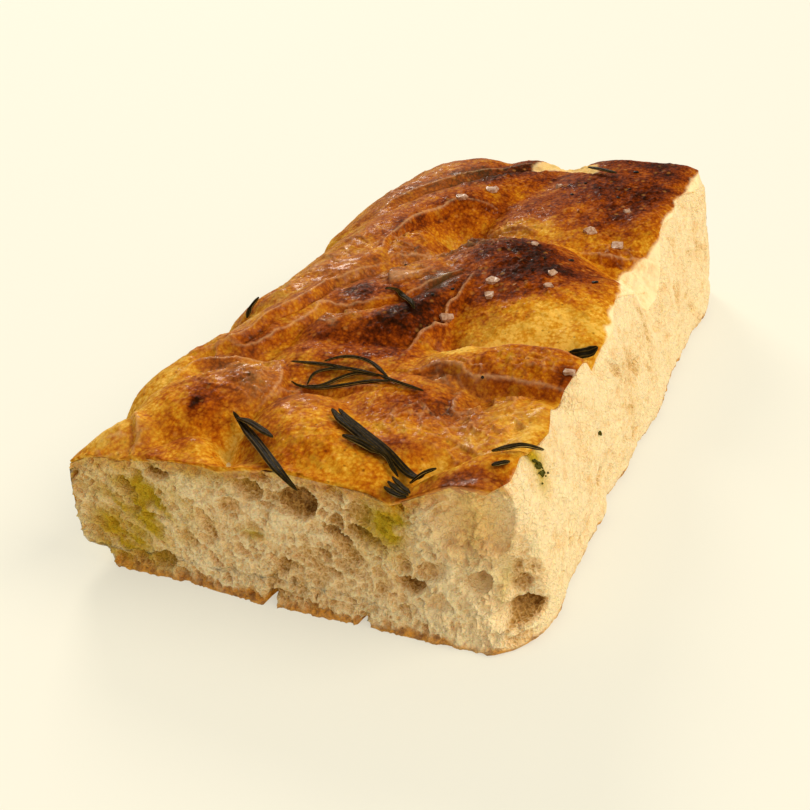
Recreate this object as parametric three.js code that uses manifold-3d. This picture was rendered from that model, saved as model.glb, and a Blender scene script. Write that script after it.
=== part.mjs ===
// Rosemary focaccia: one slab cut from a tray bake. Its crust is a quilt of puffed pillows,
// its front end shows the open crumb, and flakes of salt and sprigs of rosemary lie on top.
// Units are millimetres and +Z is up. The slab is laid out from the front left corner of its
// base: x runs right along the cut end, y runs back along the long side.
import * as THREE from 'three';
import { mergeVertices } from 'three/addons/utils/BufferGeometryUtils.js';
import Module from 'manifold-3d';

const wasm = await Module();
wasm.setup();

// ---- driving dimensions ----
const SLAB_LENGTH = 198;
const BASE_CENTRE = { x: 48.961, y: 96.8 };   // centre of the slab's box, set at the origin
const GRID = { across: 40, along: 62 };     // facets across and along the crust
const CREASE = 0.6;                         // how softly two pillows meet
const DOME_POWER = 1.05;
const CUT_END_BLEND = 10;                   // how far back the cut end's relief reaches
const TOPPING_GAP = 0.45;                   // clearance between a topping and the crust

// Pillows of the crust. Each has a spine of [x, y, height of its crest], the reach at
// which it has sunk by its drop, and that drop.
const PILLOWS = {
  cornerBubble: { spine: [[5, 3, 35.2], [8, 9, 36]], reach: 9, drop: 4 },
  cornerHump: { spine: [[20, 0, 36], [24, 5, 36.3]], reach: 7, drop: 4 },
  frontLeft: { spine: [[15, 22, 39.2], [22, 29, 39.3]], reach: 14, drop: 5 },
  frontMiddle: { spine: [[43, 21, 39.5], [57, 9, 38.8], [72, -2, 37]], reach: 13, drop: 5.5 },
  plain: { spine: [[62, 38, 37.6], [72, 18, 36.8]], reach: 14, drop: 3 },
  lip: { spine: [[86, 2, 41], [99, 11, 41.5]], reach: 9, drop: 6 },
  rightRim: { spine: [[98.5, 17, 38.8], [98.5, 36, 38.4]], reach: 7, drop: 3 },
  trough: { spine: [[88, 26, 37], [92, 34, 37.2]], reach: 13, drop: 3 },
  crossRidge: { spine: [[66, 52, 38.6], [84, 56, 41], [101, 54, 40.8]], reach: 9, drop: 4.5 },
  sprigBed: { spine: [[34, 50, 38.2], [52, 50, 37.8]], reach: 12, drop: 2.8 },
  leftLow: { spine: [[2, 36, 36.5], [10, 52, 38.5]], reach: 11, drop: 4 },
  leftMiddle: { spine: [[14, 60, 40], [20, 78, 41]], reach: 11, drop: 4.5 },
  darkLeft: { spine: [[32, 62, 40.5], [46, 72, 41]], reach: 10, drop: 4 },
  darkWedge: { spine: [[50, 78, 41.5], [56, 92, 42.5]], reach: 7, drop: 4 },
  crumpled: { spine: [[32, 84, 41.5], [44, 98, 42.5]], reach: 12, drop: 3.6 },
  great: { spine: [[63, 108, 45], [80, 90, 42.6]], reach: 23, drop: 7 },
  greatRight: { spine: [[91, 99, 41.2], [94, 76, 39.5]], reach: 11, drop: 3.5 },
  longInner: { spine: [[20, 92, 42], [27, 112, 42.5], [30, 124, 42]], reach: 9, drop: 4.5 },
  longOuter: { spine: [[10, 84, 41], [14, 112, 43], [22, 142, 44.2], [38, 170, 45]], reach: 13, drop: 4.8 },
  backLeft: { spine: [[10, 150, 44], [24, 182, 46]], reach: 17, drop: 5 },
  backMiddle: { spine: [[44, 178, 44.3], [48, 192, 43.6]], reach: 15, drop: 4 },
  backRight: { spine: [[70, 158, 43], [76, 178, 45.4], [80, 192, 45.8]], reach: 26, drop: 5 },
  backCorner: { spine: [[92, 152, 42], [97, 192, 44.6]], reach: 14, drop: 4 },
};

// Hollows pressed into the dough: centre, half sizes, turn in degrees and depth.
const DIMPLES = {
  goldenHollow: { at: [39, 136], half: [12, 12], turn: -15, depth: 5 },
  sprigDimple: { at: [41, 42], half: [11, 7], turn: 0, depth: 1.8 },
  frontValley: { at: [32, 14], half: [4, 14], turn: -5, depth: 1.6 },
  lipValley: { at: [77, 8], half: [5, 12], turn: -25, depth: 2.5 },
  behindLip: { at: [83, 8.5], half: [5, 4.5], turn: -20, depth: 2.4 },
  sideValley: { at: [97, 66], half: [9, 5], turn: 0, depth: 1.6 },
  backNotch: { at: [56, 196], half: [8, 6], turn: 0, depth: 1.6 },
  leftNick: { at: [-2, 18], half: [6, 5], turn: 0, depth: 1.2 },
};

// Height of the crust's edge along the cut end, [x, z].
const FRONT_EDGE = [[-9, 27], [0, 31], [8, 31.5], [16, 33.5], [28, 34], [50, 36], [68, 34],
  [74.5, 32.5], [80, 35], [86, 38.5], [93, 40], [99, 39.5], [106, 36]];
// Outlines of the long sides, [share of the height, x]: the left one is undercut.
const LEFT_SIDE = [[0, 1], [0.04, -0.3], [0.17, -0.6], [0.2, -7], [0.26, -8.3], [0.6, -8.7],
  [0.85, -8.6], [0.94, -7.8], [1, -6.4]];
const RIGHT_SIDE = [[0, 102.5], [0.04, 104.3], [0.15, 104.8], [0.45, 104], [0.75, 102.2],
  [0.92, 100.3], [1, 98]];
// Shares of the height where the walls have an edge loop.
const WALL_LEVELS = [0, 0.04, 0.17, 0.2, 0.26, 0.52, 0.68, 0.82, 0.92, 0.97, 1];

// Holes in the cut end, deep enough to see into: [x, z, half width, half height, depth].
const HOLES = {
  lipCaveLeft: [87.5, 31, 4.6, 8, 5.5],
  lipCaveRight: [95.5, 30, 4.2, 7.5, 4.5],
  pentagon: [91.5, 15, 3, 3.2, 6],
  besidePentagon: [82.5, 17, 3, 2.4, 3.5],
  roundShallow: [53, 28, 4.6, 4.2, 3],
  upperMiddle: [41, 29, 4, 3, 3],
  upperRight: [67, 28, 3.2, 3.4, 3],
  lowerLeft: [15, 5, 3.6, 2.8, 4],
  lowerRight: [98.5, 8.5, 3.5, 2.2, 4],
  middleLow: [77, 12, 3.4, 1.9, 4],
  leftTriangle: [8, 24, 2.2, 2.6, 3],
  leftSlot: [18, 29, 3, 1.6, 3],
  middleSlot: [61, 21.5, 4, 1.5, 2.5],
  rightSlot: [68.8, 21.8, 4.8, 1.5, 2.5],
  rightRound: [97, 17, 2.6, 2.8, 2.5],
};
// Nicks torn out of the base along the cut end: [x, half width, height, depth].
const BASE_NICKS = [[43.5, 1.7, 3.8, 9], [66.3, 1.5, 2.2, 7]];

// Salt flakes on the crust: [x, y, length, width, turn in degrees].
const SALT = [[40.4, 160.6, 3.2, 2.4, 20], [34.1, 149.7, 3.2, 1.8, 5], [78.4, 138.7, 2.8, 2.4, 40],
  [87.4, 135.8, 2.6, 2.4, 15], [65.1, 90.8, 2.6, 2.2, 60], [66.3, 84.6, 2, 1.8, 10],
  [80.3, 90, 2.2, 1.6, 30], [79.2, 97.3, 2, 1.6, 70], [68.9, 115.2, 1.8, 1.6, 0],
  [57.8, 75.2, 2.6, 1.6, 20], [97, 50.5, 2.4, 1.2, 10], [60, 170, 1.8, 1.4, 50],
  [86, 153, 1.8, 1.4, 25]];
const SALT_THICKNESS = 1.6;
const SALT_SHOWS = 0.9;                     // how much of a flake stands out of the crust

// Rosemary: the nodes, each made of leaves and stems. A leaf has the [x, y] points that it
// passes over, its width, its thickness, how far each end is lifted off the crust and,
// where it stands on an edge, its roll in degrees.
const LEAF_STEPS = 9;
const LEAF_SIDES = 6;
const DEGREE = Math.PI / 180;
const LEAF_DROOP = 0.5;                     // share of its overhang that a leaf falls
const ROSEMARY = {
  rosemary_pair: [
    { over: [[28.4, 18.1], [32.2, 15.6], [42.2, 6.3], [50.8, -1.2], [56.8, -4.5]],
      width: 2.3, thick: 1.1, lift: [0.3, 0.9] },
    { over: [[29.4, 17.4], [34.4, 14.7], [40.8, 10.2], [45.1, 7.5]],
      width: 1.8, thick: 1, lift: [0.3, 1.1] },
  ],
  rosemary_sprig: [
    { over: [[53.5, 41.7], [59.7, 38.1], [67.6, 36.2]], width: 1, thick: 0.9, lift: [0.6, 0.3] },
    { over: [[30.1, 42.6], [37.9, 43.8], [44.1, 43.6], [53.4, 41.4]],
      width: 1.3, thick: 0.9, lift: [0.6, 0.7] },
    { over: [[38.2, 44.4], [41.6, 46.4], [45.6, 46.9], [50.6, 45.3], [57.4, 39.4]],
      width: 1.1, thick: 0.9, lift: [1, 0.8] },
    { over: [[37.4, 36.4], [37.4, 40.4], [40.5, 42.7], [46.3, 43], [54.6, 40.2]],
      width: 1, thick: 0.9, lift: [0.8, 1.1] },
    { over: [[37.2, 36.4], [40.8, 37.6], [44.1, 40.7], [48.2, 42.2], [54.8, 40.6]],
      width: 1.1, thick: 0.9, lift: [0.5, 0.6] },
    { over: [[33.3, 36.3], [35.8, 36], [40.8, 36.6], [46.6, 38.3], [53.4, 38.4], [59.4, 38.2]],
      width: 1.2, thick: 0.9, lift: [0.5, 0.5] },
  ],
  rosemary_bundle: [
    { over: [[52.4, 20.7], [56.2, 17.2], [60.5, 14.6], [65.5, 11.6], [70.9, 9.1]],
      width: 2.1, thick: 1.2, lift: [0.5, 0.4] },
    { over: [[53.5, 21.8], [57, 18.9], [61.6, 15.9], [69.4, 11.3], [75, 8.4], [78.4, 6.6], [80.6, 5.6]],
      width: 2.2, thick: 1.1, lift: [0.7, 0] },
    { over: [[59.7, 11], [63.1, 10.8], [69.3, 9.4]], width: 2, thick: 1.2, lift: [0.3, 0.3] },
    { over: [[66.2, 10.8], [70.6, 8.9], [72.7, 7.2], [74.1, 6.4]],
      width: 1, thick: 0.9, lift: [0.9, 0.3] },
    { over: [[77, 5.4], [80.2, 5.2], [83.4, 4.6]], width: 1.2, thick: 0.9, lift: [0.3, 0.3] },
  ],
  rosemary_tips: [
    { over: [[72.9, 2], [76, 0.3], [79.2, -1.2]], width: 1.3, thick: 0.9, lift: [0.6, 0.3] },
    { over: [[73.1, 3.4], [76.2, 1.4], [79.5, -0.9]], width: 1.3, thick: 0.9, lift: [0.8, 0.4] },
    { over: [[73.5, 4.8], [76.7, 2.2], [79.8, -0.6]], width: 1.2, thick: 0.9, lift: [1, 0.5] },
  ],
  rosemary_needle_centre: [
    { over: [[38.3, 80.8], [41, 81.7], [43.6, 80.6], [48.5, 74.2], [50.8, 71.2]],
      width: 1.6, thick: 1.1, lift: [0.8, 0.4] },
  ],
  rosemary_needle_left: [
    { over: [[0.8, 70], [0.8, 72.1], [1.7, 73.2], [2.9, 74.3]], width: 1.5, thick: 1, lift: [0.2, 1.4] },
  ],
  rosemary_leaf_right: [
    { over: [[92.2, 65.2], [95, 64.6], [97.2, 66], [99.2, 67.4]],
      width: 2.6, thick: 0.9, lift: [0.1, 2.8], roll: 55 },
  ],
  rosemary_needle_front_right: [
    { over: [[93, 9.8], [95.4, 11.8], [98, 14.2], [101, 18.2]], width: 1.5, thick: 1, lift: [0.3, 1.2] },
  ],
  rosemary_bit_front_right: [
    { over: [[94.5, 5.5], [96, 6.8], [97.4, 8]], width: 1.4, thick: 0.8, lift: [0.3, 0.3] },
  ],
  rosemary_needle_back: [
    { over: [[65.8, 183.5], [70.8, 179.7], [77.3, 175.7]], width: 1.7, thick: 1, lift: [0.4, 0.7] },
  ],
};

const COLOURS = {
  bread: { color: 0xb9721f, roughness: 0.42 },
  rosemary: { color: 0x3a3316, roughness: 0.6 },
};

// ---- small helpers ----
const clamp01 = (t) => Math.min(Math.max(t, 0), 1);
const smoothStep = (from, to, value) => THREE.MathUtils.smoothstep(value, from, to);
const bell = (value, middle, reach) => Math.exp(-(((value - middle) / reach) ** 2));
const mix = THREE.MathUtils.lerp;

// Straight-line interpolation in a table of [key, value] rows.
function readOff(table, key) {
  if (key <= table[0][0]) return table[0][1];
  for (let row = 1; row < table.length; row += 1) {
    const [k0, v0] = table[row - 1];
    const [k1, v1] = table[row];
    if (key <= k1) return mix(v0, v1, (key - k0) / (k1 - k0));
  }
  return table[table.length - 1][1];
}

// ---- the crust ----

// Squared distance from a pillow's spine and the height of its crest there.
function nearestOnSpine(x, y, spine) {
  let nearest = { squared: Infinity, crest: 0 };
  for (let index = 1; index < spine.length; index += 1) {
    const [x0, y0, crest0] = spine[index - 1];
    const [x1, y1, crest1] = spine[index];
    const [dx, dy] = [x1 - x0, y1 - y0];
    const along = clamp01(((x - x0) * dx + (y - y0) * dy) / (dx * dx + dy * dy));
    const squared = (x - x0 - along * dx) ** 2 + (y - y0 - along * dy) ** 2;
    if (squared < nearest.squared) nearest = { squared, crest: mix(crest0, crest1, along) };
  }
  return nearest;
}

// The pillows, run together along soft creases.
function pillowHeight(x, y) {
  const heights = Object.values(PILLOWS).map(({ spine, reach, drop }) => {
    const { squared, crest } = nearestOnSpine(x, y, spine);
    return crest - drop * (squared / reach ** 2) ** DOME_POWER;
  });
  const highest = Math.max(...heights);
  const blend = heights.reduce((sum, height) => sum + Math.exp((height - highest) / CREASE), 0);
  return highest + CREASE * (Math.log(blend) - 0.35);
}

function dimpleDepth(x, y) {
  return Object.values(DIMPLES).reduce((sum, { at, half, turn, depth }) => {
    const angle = THREE.MathUtils.degToRad(turn);
    const [dx, dy] = [x - at[0], y - at[1]];
    const across = (Math.cos(angle) * dx + Math.sin(angle) * dy) / half[0];
    const along = (Math.cos(angle) * dy - Math.sin(angle) * dx) / half[1];
    return sum + depth * Math.exp(-1.6 * (across ** 2 + along ** 2));
  }, 0);
}

// The baked left edge falls away from the crust in one long wavy slope.
function leftSlope(x, y) {
  const waves = 0.7 * Math.sin(y / 11 + 0.6) + 0.4 * Math.sin(y / 4.7);
  const outer = 0.045 * Math.min(x + 3, 0) ** 2;
  const pinch = 3 * bell(y, 93, 21);
  const frontRise = 1.2 * bell(y, 12, 13);
  return 37.2 + 0.66 * x - outer + waves - pinch + frontRise + 1.4 * smoothStep(148, 172, y);
}

function crustHeight(x, y) {
  const slopeBlend = 1.4;
  const free = pillowHeight(x, y) - dimpleDepth(x, y);
  const slope = leftSlope(x, y);
  const lower = Math.min(free, slope);
  const meet = Math.exp((lower - free) / slopeBlend) + Math.exp((lower - slope) / slopeBlend);
  const shoulder = 2.2 * clamp01((x - 91) / 10) ** 2.2;
  const rounded = lower - slopeBlend * Math.log(meet) - shoulder;
  const edge = mix(readOff(FRONT_EDGE, x), rounded, smoothStep(-1, 10, y));
  return edge - 1.5 * clamp01((y - 190) / 8) ** 2.5;
}

// ---- the walls ----
function leftSide(y, level) {
  const waves = 0.6 * Math.sin(y / 17 + 1) + 0.35 * Math.sin(y / 7.3 + 2);
  return readOff(LEFT_SIDE, level) + waves * smoothStep(0.13, 0.3, level);
}

function rightSide(y, level) {
  const flare = 2 * smoothStep(50, 120, y) - 2 * smoothStep(182, 200, y);
  const lowWaves = 0.7 * Math.sin(y / 13 + 0.5) + 0.5 * Math.sin(y / 5.3);
  const edgeWaves = Math.sin(y / 9) + 0.8 * Math.sin(y / 4.1 + 1) + 1.8 * smoothStep(170, 196, y);
  const tooth = 1.6 * bell(y, 52, 4) * (1 - smoothStep(0.1, 0.3, level));
  const corner = 8.5 * Math.exp(-y / 4.5) * (1 - 0.75 * smoothStep(0.2, 0.95, level));
  return readOff(RIGHT_SIDE, level) + flare * (1 - 0.6 * level) + lowWaves * (1 - level)
    + edgeWaves * smoothStep(0.6, 1, level) + tooth - corner;
}

// How far the cut end stands forward of its plane: the base sags out a little.
function cutEndRelief(x, level) {
  return -1.8 * (1 - smoothStep(0, 0.35, level)) * smoothStep(20, 45, x);
}

// A point of the slab's surface from its shares across, along and up.
function slabPoint(across, along, level) {
  const y = along * SLAB_LENGTH;
  const x = mix(leftSide(y, level), rightSide(y, level), across);
  const forward = cutEndRelief(x, level) * (1 - smoothStep(0, CUT_END_BLEND, y));
  return new THREE.Vector3(x, y + forward, level * crustHeight(x, y));
}

// The slab's skin: a grid over the crust, rings of wall down to the base, and a flat base.
function slabGeometry() {
  const { across: columns, along: rows } = GRID;
  const top = WALL_LEVELS.length - 1;
  const positions = [];
  const triangles = [];
  const numbers = new Map();
  const corner = (i, j, k) => {
    const key = `${i} ${j} ${k}`;
    if (!numbers.has(key)) {
      numbers.set(key, positions.length / 3);
      positions.push(...slabPoint(i / columns, j / rows, WALL_LEVELS[k]).toArray());
    }
    return numbers.get(key);
  };
  const quad = (a, b, c, d) => triangles.push(a, b, c, a, c, d);
  for (let i = 0; i < columns; i += 1) {
    for (let j = 0; j < rows; j += 1) {
      quad(corner(i, j, top), corner(i + 1, j, top), corner(i + 1, j + 1, top), corner(i, j + 1, top));
    }
  }
  for (let k = 0; k < top; k += 1) {
    for (let i = 0; i < columns; i += 1) {
      quad(corner(i, 0, k), corner(i + 1, 0, k), corner(i + 1, 0, k + 1), corner(i, 0, k + 1));
      quad(corner(i, rows, k), corner(i, rows, k + 1), corner(i + 1, rows, k + 1), corner(i + 1, rows, k));
    }
    for (let j = 0; j < rows; j += 1) {
      quad(corner(0, j, k), corner(0, j, k + 1), corner(0, j + 1, k + 1), corner(0, j + 1, k));
      quad(corner(columns, j, k), corner(columns, j + 1, k), corner(columns, j + 1, k + 1),
        corner(columns, j, k + 1));
    }
  }
  triangles.push(...baseTriangles(corner, positions));
  const geometry = new THREE.BufferGeometry();
  geometry.setAttribute('position', new THREE.Float32BufferAttribute(positions, 3));
  geometry.setIndex(triangles);
  return geometry;
}

// The flat base inside the lowest ring, facing down.
function baseTriangles(corner, positions) {
  const { across: columns, along: rows } = GRID;
  const ring = [];
  for (let i = 0; i < columns; i += 1) ring.push(corner(i, 0, 0));
  for (let j = 0; j < rows; j += 1) ring.push(corner(columns, j, 0));
  for (let i = columns; i > 0; i -= 1) ring.push(corner(i, rows, 0));
  for (let j = rows; j > 0; j -= 1) ring.push(corner(0, j, 0));
  const outline = ring.map((n) => new THREE.Vector2(positions[3 * n], positions[3 * n + 1]));
  return THREE.ShapeUtils.triangulateShape(outline, [])
    .flatMap(([a, b, c]) => [ring[a], ring[c], ring[b]]);
}

// ---- solids ----
function toSolid(geometry) {
  const bare = geometry.clone();
  bare.deleteAttribute('normal');
  bare.deleteAttribute('uv');
  const merged = mergeVertices(bare, 1e-4);
  return new wasm.Manifold(new wasm.Mesh({
    numProp: 3,
    vertProperties: new Float32Array(merged.attributes.position.array),
    triVerts: new Uint32Array(merged.index.array),
  }));
}

function toGeometry(solid) {
  const mesh = solid.getMesh();
  const geometry = new THREE.BufferGeometry();
  geometry.setAttribute('position', new THREE.BufferAttribute(mesh.vertProperties, 3));
  geometry.setIndex(new THREE.BufferAttribute(mesh.triVerts, 1));
  geometry.computeVertexNormals();
  return geometry;
}

// A rounded hollow in the cut end.
function hollow(x, y, z, halfWidth, depth, halfHeight) {
  return toSolid(new THREE.IcosahedronGeometry(1, 1)
    .scale(halfWidth, depth, halfHeight)
    .translate(x, y, z));
}

// A flake of salt, sunk into the crust where it lies.
function saltFlake([x, y, length, width, turn]) {
  const middle = crustHeight(x, y) + SALT_SHOWS - SALT_THICKNESS / 2;
  return toSolid(new THREE.BoxGeometry(length, width, SALT_THICKNESS)
    .rotateX(THREE.MathUtils.degToRad(turn / 5))
    .rotateZ(THREE.MathUtils.degToRad(turn))
    .translate(x, y, middle));
}

function breadSolid() {
  let bread = toSolid(slabGeometry());
  for (const [x, z, halfWidth, halfHeight, depth] of Object.values(HOLES)) {
    const face = cutEndRelief(x, z / crustHeight(x, 0));
    bread = bread.subtract(hollow(x, face, z, halfWidth, depth, halfHeight));
  }
  for (const [x, halfWidth, height, depth] of BASE_NICKS) {
    bread = bread.subtract(hollow(x, cutEndRelief(x, 0), 0, halfWidth, depth, height));
  }
  for (const flake of SALT) bread = bread.add(saltFlake(flake));
  return bread;
}

// ---- rosemary ----

// Height at which a leaf of this width clears the crust.
function restingHeight(x, y, width) {
  const reach = width / 2;
  const around = [[0, 0], [reach, 0], [-reach, 0], [0, reach], [0, -reach]];
  const crust = around.map(([dx, dy]) => crustHeight(x + dx, Math.max(y + dy, 0)));
  return Math.max(...crust) - LEAF_DROOP * Math.max(-y, 0);
}

// Share of its full width that a leaf has at a share of its length.
function leafTaper(share) {
  return Math.min(1, 0.34 + 2.6 * share, 0.28 + 3.4 * (1 - share));
}

// One narrow leaf along its spine, rolled about it by an angle in degrees, with blunt ends.
function leafGeometry({ over, width, thick, lift, roll = 0 }) {
  const spine = new THREE.CatmullRomCurve3(over.map(([x, y], index) => {
    const raised = mix(lift[0], lift[1], index / (over.length - 1));
    const z = restingHeight(x, y, width) + TOPPING_GAP + thick / 2 + raised;
    return new THREE.Vector3(x, y, z);
  }));
  const positions = spine.getPointAt(0).toArray();
  const triangles = [];
  const up = new THREE.Vector3(0, 0, 1);
  for (let step = 1; step < LEAF_STEPS; step += 1) {
    const share = step / LEAF_STEPS;
    const middle = spine.getPointAt(share);
    const run = spine.getTangentAt(share);
    const side = new THREE.Vector3().crossVectors(run, up).normalize().applyAxisAngle(run, -roll * DEGREE);
    const above = up.clone().applyAxisAngle(run, -roll * DEGREE);
    const taper = leafTaper(share);
    for (let turn = 0; turn < LEAF_SIDES; turn += 1) {
      const angle = (turn / LEAF_SIDES) * 2 * Math.PI;
      const outward = side.clone().multiplyScalar(Math.cos(angle) * width * taper / 2);
      const rise = above.clone().multiplyScalar(Math.sin(angle) * thick * Math.sqrt(taper) / 2);
      positions.push(...middle.clone().add(outward).add(rise).toArray());
    }
  }
  positions.push(...spine.getPointAt(1).toArray());
  const last = positions.length / 3 - 1;
  const ringVertex = (ring, turn) => 1 + ring * LEAF_SIDES + (turn % LEAF_SIDES);
  for (let turn = 0; turn < LEAF_SIDES; turn += 1) {
    triangles.push(0, ringVertex(0, turn), ringVertex(0, turn + 1));
    for (let ring = 0; ring < LEAF_STEPS - 2; ring += 1) {
      const [a, b] = [ringVertex(ring, turn), ringVertex(ring, turn + 1)];
      const [c, d] = [ringVertex(ring + 1, turn), ringVertex(ring + 1, turn + 1)];
      triangles.push(a, c, b, b, c, d);
    }
    const end = LEAF_STEPS - 2;
    triangles.push(last, ringVertex(end, turn + 1), ringVertex(end, turn));
  }
  const geometry = new THREE.BufferGeometry();
  geometry.setAttribute('position', new THREE.Float32BufferAttribute(positions, 3));
  geometry.setIndex(triangles);
  return geometry;
}

function rosemarySolid(leaves) {
  return leaves.map((leaf) => toSolid(leafGeometry(leaf))).reduce((all, leaf) => all.add(leaf));
}

// ---- the whole slab ----
function namedMesh(name, solid, look) {
  const mesh = new THREE.Mesh(toGeometry(solid), new THREE.MeshStandardMaterial(look));
  mesh.name = name;
  return mesh;
}

const focaccia = new THREE.Group();
focaccia.position.set(-BASE_CENTRE.x, -BASE_CENTRE.y, 0);
focaccia.add(namedMesh('bread', breadSolid(), COLOURS.bread));
for (const [name, leaves] of Object.entries(ROSEMARY)) {
  focaccia.add(namedMesh(name, rosemarySolid(leaves), COLOURS.rosemary));
}

export default focaccia;
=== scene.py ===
"""A slab of rosemary focaccia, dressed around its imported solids.

The slab was baked in a tray: its crust puffed into pillows, browned unevenly and was brushed
with oil, and the slab was then cut, which opened the crumb. Shapes are worked out in
millimetres in the slab's layout frame, whose origin is the front left corner of the base:
x runs right along the cut end, y runs back along the long side and z is up. Meshes are
written in metres in the row frame.
"""

import contextlib
import functools
import logging
import math
from collections.abc import Iterable, Iterator, Sequence
from dataclasses import dataclass, field
from enum import Enum

import bpy
import numpy as np
from mathutils import Matrix, Vector


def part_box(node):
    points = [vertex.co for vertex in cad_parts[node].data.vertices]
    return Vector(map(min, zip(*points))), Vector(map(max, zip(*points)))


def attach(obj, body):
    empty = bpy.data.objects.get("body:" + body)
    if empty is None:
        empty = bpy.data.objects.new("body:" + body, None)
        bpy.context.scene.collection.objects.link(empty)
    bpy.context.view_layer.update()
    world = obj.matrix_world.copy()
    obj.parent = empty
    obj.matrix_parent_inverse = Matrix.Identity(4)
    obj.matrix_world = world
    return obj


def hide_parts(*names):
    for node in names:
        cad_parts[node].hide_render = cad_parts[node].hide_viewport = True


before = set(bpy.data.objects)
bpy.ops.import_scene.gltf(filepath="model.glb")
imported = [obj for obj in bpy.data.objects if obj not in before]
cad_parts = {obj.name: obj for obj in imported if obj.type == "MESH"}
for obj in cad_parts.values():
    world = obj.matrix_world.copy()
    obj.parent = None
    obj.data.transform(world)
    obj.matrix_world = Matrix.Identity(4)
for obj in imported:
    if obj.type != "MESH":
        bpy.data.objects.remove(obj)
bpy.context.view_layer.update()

logging.basicConfig(level=logging.INFO, format="%(message)s")
log = logging.getLogger("focaccia")

MM = 0.001
ROOT = "root"
SEED = 20
# Where the low corner of the bread's box lies in the layout frame, in millimetres.
LOW_CORNER_MM = np.array([-9.607, -1.8, 0.0])

Array = np.ndarray
Point = tuple[float, float]
Rng = np.random.Generator
Object = bpy.types.Object
Material = bpy.types.Material


# ---- small tools ----


def smooth_step(low: float, high: float, value: Array) -> Array:
    """Returns 0 below low, 1 above high and a smooth rise between."""
    share = np.clip((value - low) / (high - low), 0.0, 1.0)
    return share * share * (3.0 - 2.0 * share)


def bell(value: Array, middle: float, reach: float) -> Array:
    """Returns a bell curve, 1 at the middle."""
    return np.exp(-(((value - middle) / reach) ** 2))


def read_off(table: Sequence[Point], key: Array) -> Array:
    """Returns straight-line interpolation in a table of (key, value) rows."""
    keys, values = zip(*table)
    return np.interp(key, keys, values)


def turn_axes(u: Array, v: Array, degrees: float) -> tuple[Array, Array]:
    """Returns places as seen from turned axes: how far along them and how far across."""
    cosine, sine = math.cos(math.radians(degrees)), math.sin(math.radians(degrees))
    return cosine * u + sine * v, cosine * v - sine * u


def oval(du: Array, dv: Array, half: Point, degrees: float) -> Array:
    """Returns the squared distance from an oval's centre, which is 1 on its edge.

    Args:
        du: how far places lie from its centre along u.
        dv: how far places lie from its centre along v.
        half: the oval's half sizes.
        degrees: how far the oval is turned.
    """
    along, across = turn_axes(du, dv, degrees)
    return (along / half[0]) ** 2 + (across / half[1]) ** 2


@functools.cache
def bread_corner() -> tuple[float, float, float]:
    """Returns the low corner of the CAD bread, in metres."""
    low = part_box("bread")[0]
    return low[0], low[1], low[2]


def to_row_frame(points_mm: Array) -> Array:
    """Moves layout points to the row frame.

    Args:
        points_mm: points in the layout frame, in millimetres.

    Returns:
        The same points in the row frame, in metres.
    """
    return (points_mm - LOW_CORNER_MM) * MM + bread_corner()


def linear_colour(code: str) -> tuple[float, float, float, float]:
    """Turns an sRGB hex code into Blender's linear colour.

    Args:
        code: six hex digits after a hash sign.

    Returns:
        Linear red, green, blue and alpha.
    """
    shares = [int(code[start : start + 2], 16) / 255 for start in (1, 3, 5)]
    bright = [s / 12.92 if s <= 0.04045 else ((s + 0.055) / 1.055) ** 2.4 for s in shares]
    return bright[0], bright[1], bright[2], 1.0


@contextlib.contextmanager
def edit_mode() -> Iterator[None]:
    """Runs what is under it in edit mode."""
    bpy.ops.object.mode_set(mode="EDIT")
    yield
    bpy.ops.object.mode_set(mode="OBJECT")


def deselect_all() -> None:
    """Leaves nothing selected, because operators act on all that is."""
    if bpy.context.object and bpy.context.object.mode != "OBJECT":
        bpy.ops.object.mode_set(mode="OBJECT")
    bpy.ops.object.select_all(action="DESELECT")


def apply_modifier(piece: Object, kind: str, **settings: object) -> None:
    """Adds a modifier to a piece and applies it.

    Args:
        piece: the object to change.
        kind: the modifier's type.
        settings: its settings by name.
    """
    deselect_all()
    piece.select_set(True)
    bpy.context.view_layer.objects.active = piece
    modifier = piece.modifiers.new(kind.title(), kind)
    for name, value in settings.items():
        setattr(modifier, name, value)
    bpy.ops.object.modifier_apply(modifier=modifier.name)


def coordinates(piece: Object) -> Array:
    """Returns the piece's vertices as rows of x, y and z."""
    flat = np.empty(len(piece.data.vertices) * 3, np.float32)
    piece.data.vertices.foreach_get("co", flat)
    return flat.reshape(-1, 3).astype(float)


def move_vertices(piece: Object, places: Array) -> None:
    """Writes new places for all vertices of a piece."""
    piece.data.vertices.foreach_set("co", places.astype(np.float32).ravel())
    piece.data.update()


def paint(piece: Object, name: str, values: Array) -> None:
    """Stores one number for each vertex, for the materials to read."""
    layer = piece.data.attributes.new(name, "FLOAT", "POINT")
    layer.data.foreach_set("value", values.astype(np.float32))


def finish_piece(piece: Object, name: str, nodes: Sequence[str]) -> Object:
    """Names a piece, puts it on the body, hides the CAD nodes that it replaces and logs its triangles.

    Args:
        piece: the finished mesh object.
        name: the piece's name.
        nodes: the CAD nodes that it replaces.

    Returns:
        The piece.
    """
    piece.name = name
    piece.data.name = name
    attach(piece, ROOT)
    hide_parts(*nodes)
    piece.data.calc_loop_triangles()
    log.info("%s: %d triangles", name, len(piece.data.loop_triangles))
    return piece


def join_parts(parts: list[Object], finish: Material, smooth: bool = True) -> Object:
    """Joins parts into one piece.

    Args:
        parts: the parts, of which the first takes in the others.
        finish: the piece's material.
        smooth: whether it is shaded smooth.

    Returns:
        The piece.
    """
    deselect_all()
    for part in parts:
        part.select_set(True)
    bpy.context.view_layer.objects.active = parts[0]
    if len(parts) > 1:
        bpy.ops.object.join()
    piece = parts[0]
    piece.data.materials.append(finish)
    piece.data.polygons.foreach_set("use_smooth", np.full(len(piece.data.polygons), smooth))
    return piece


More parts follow.
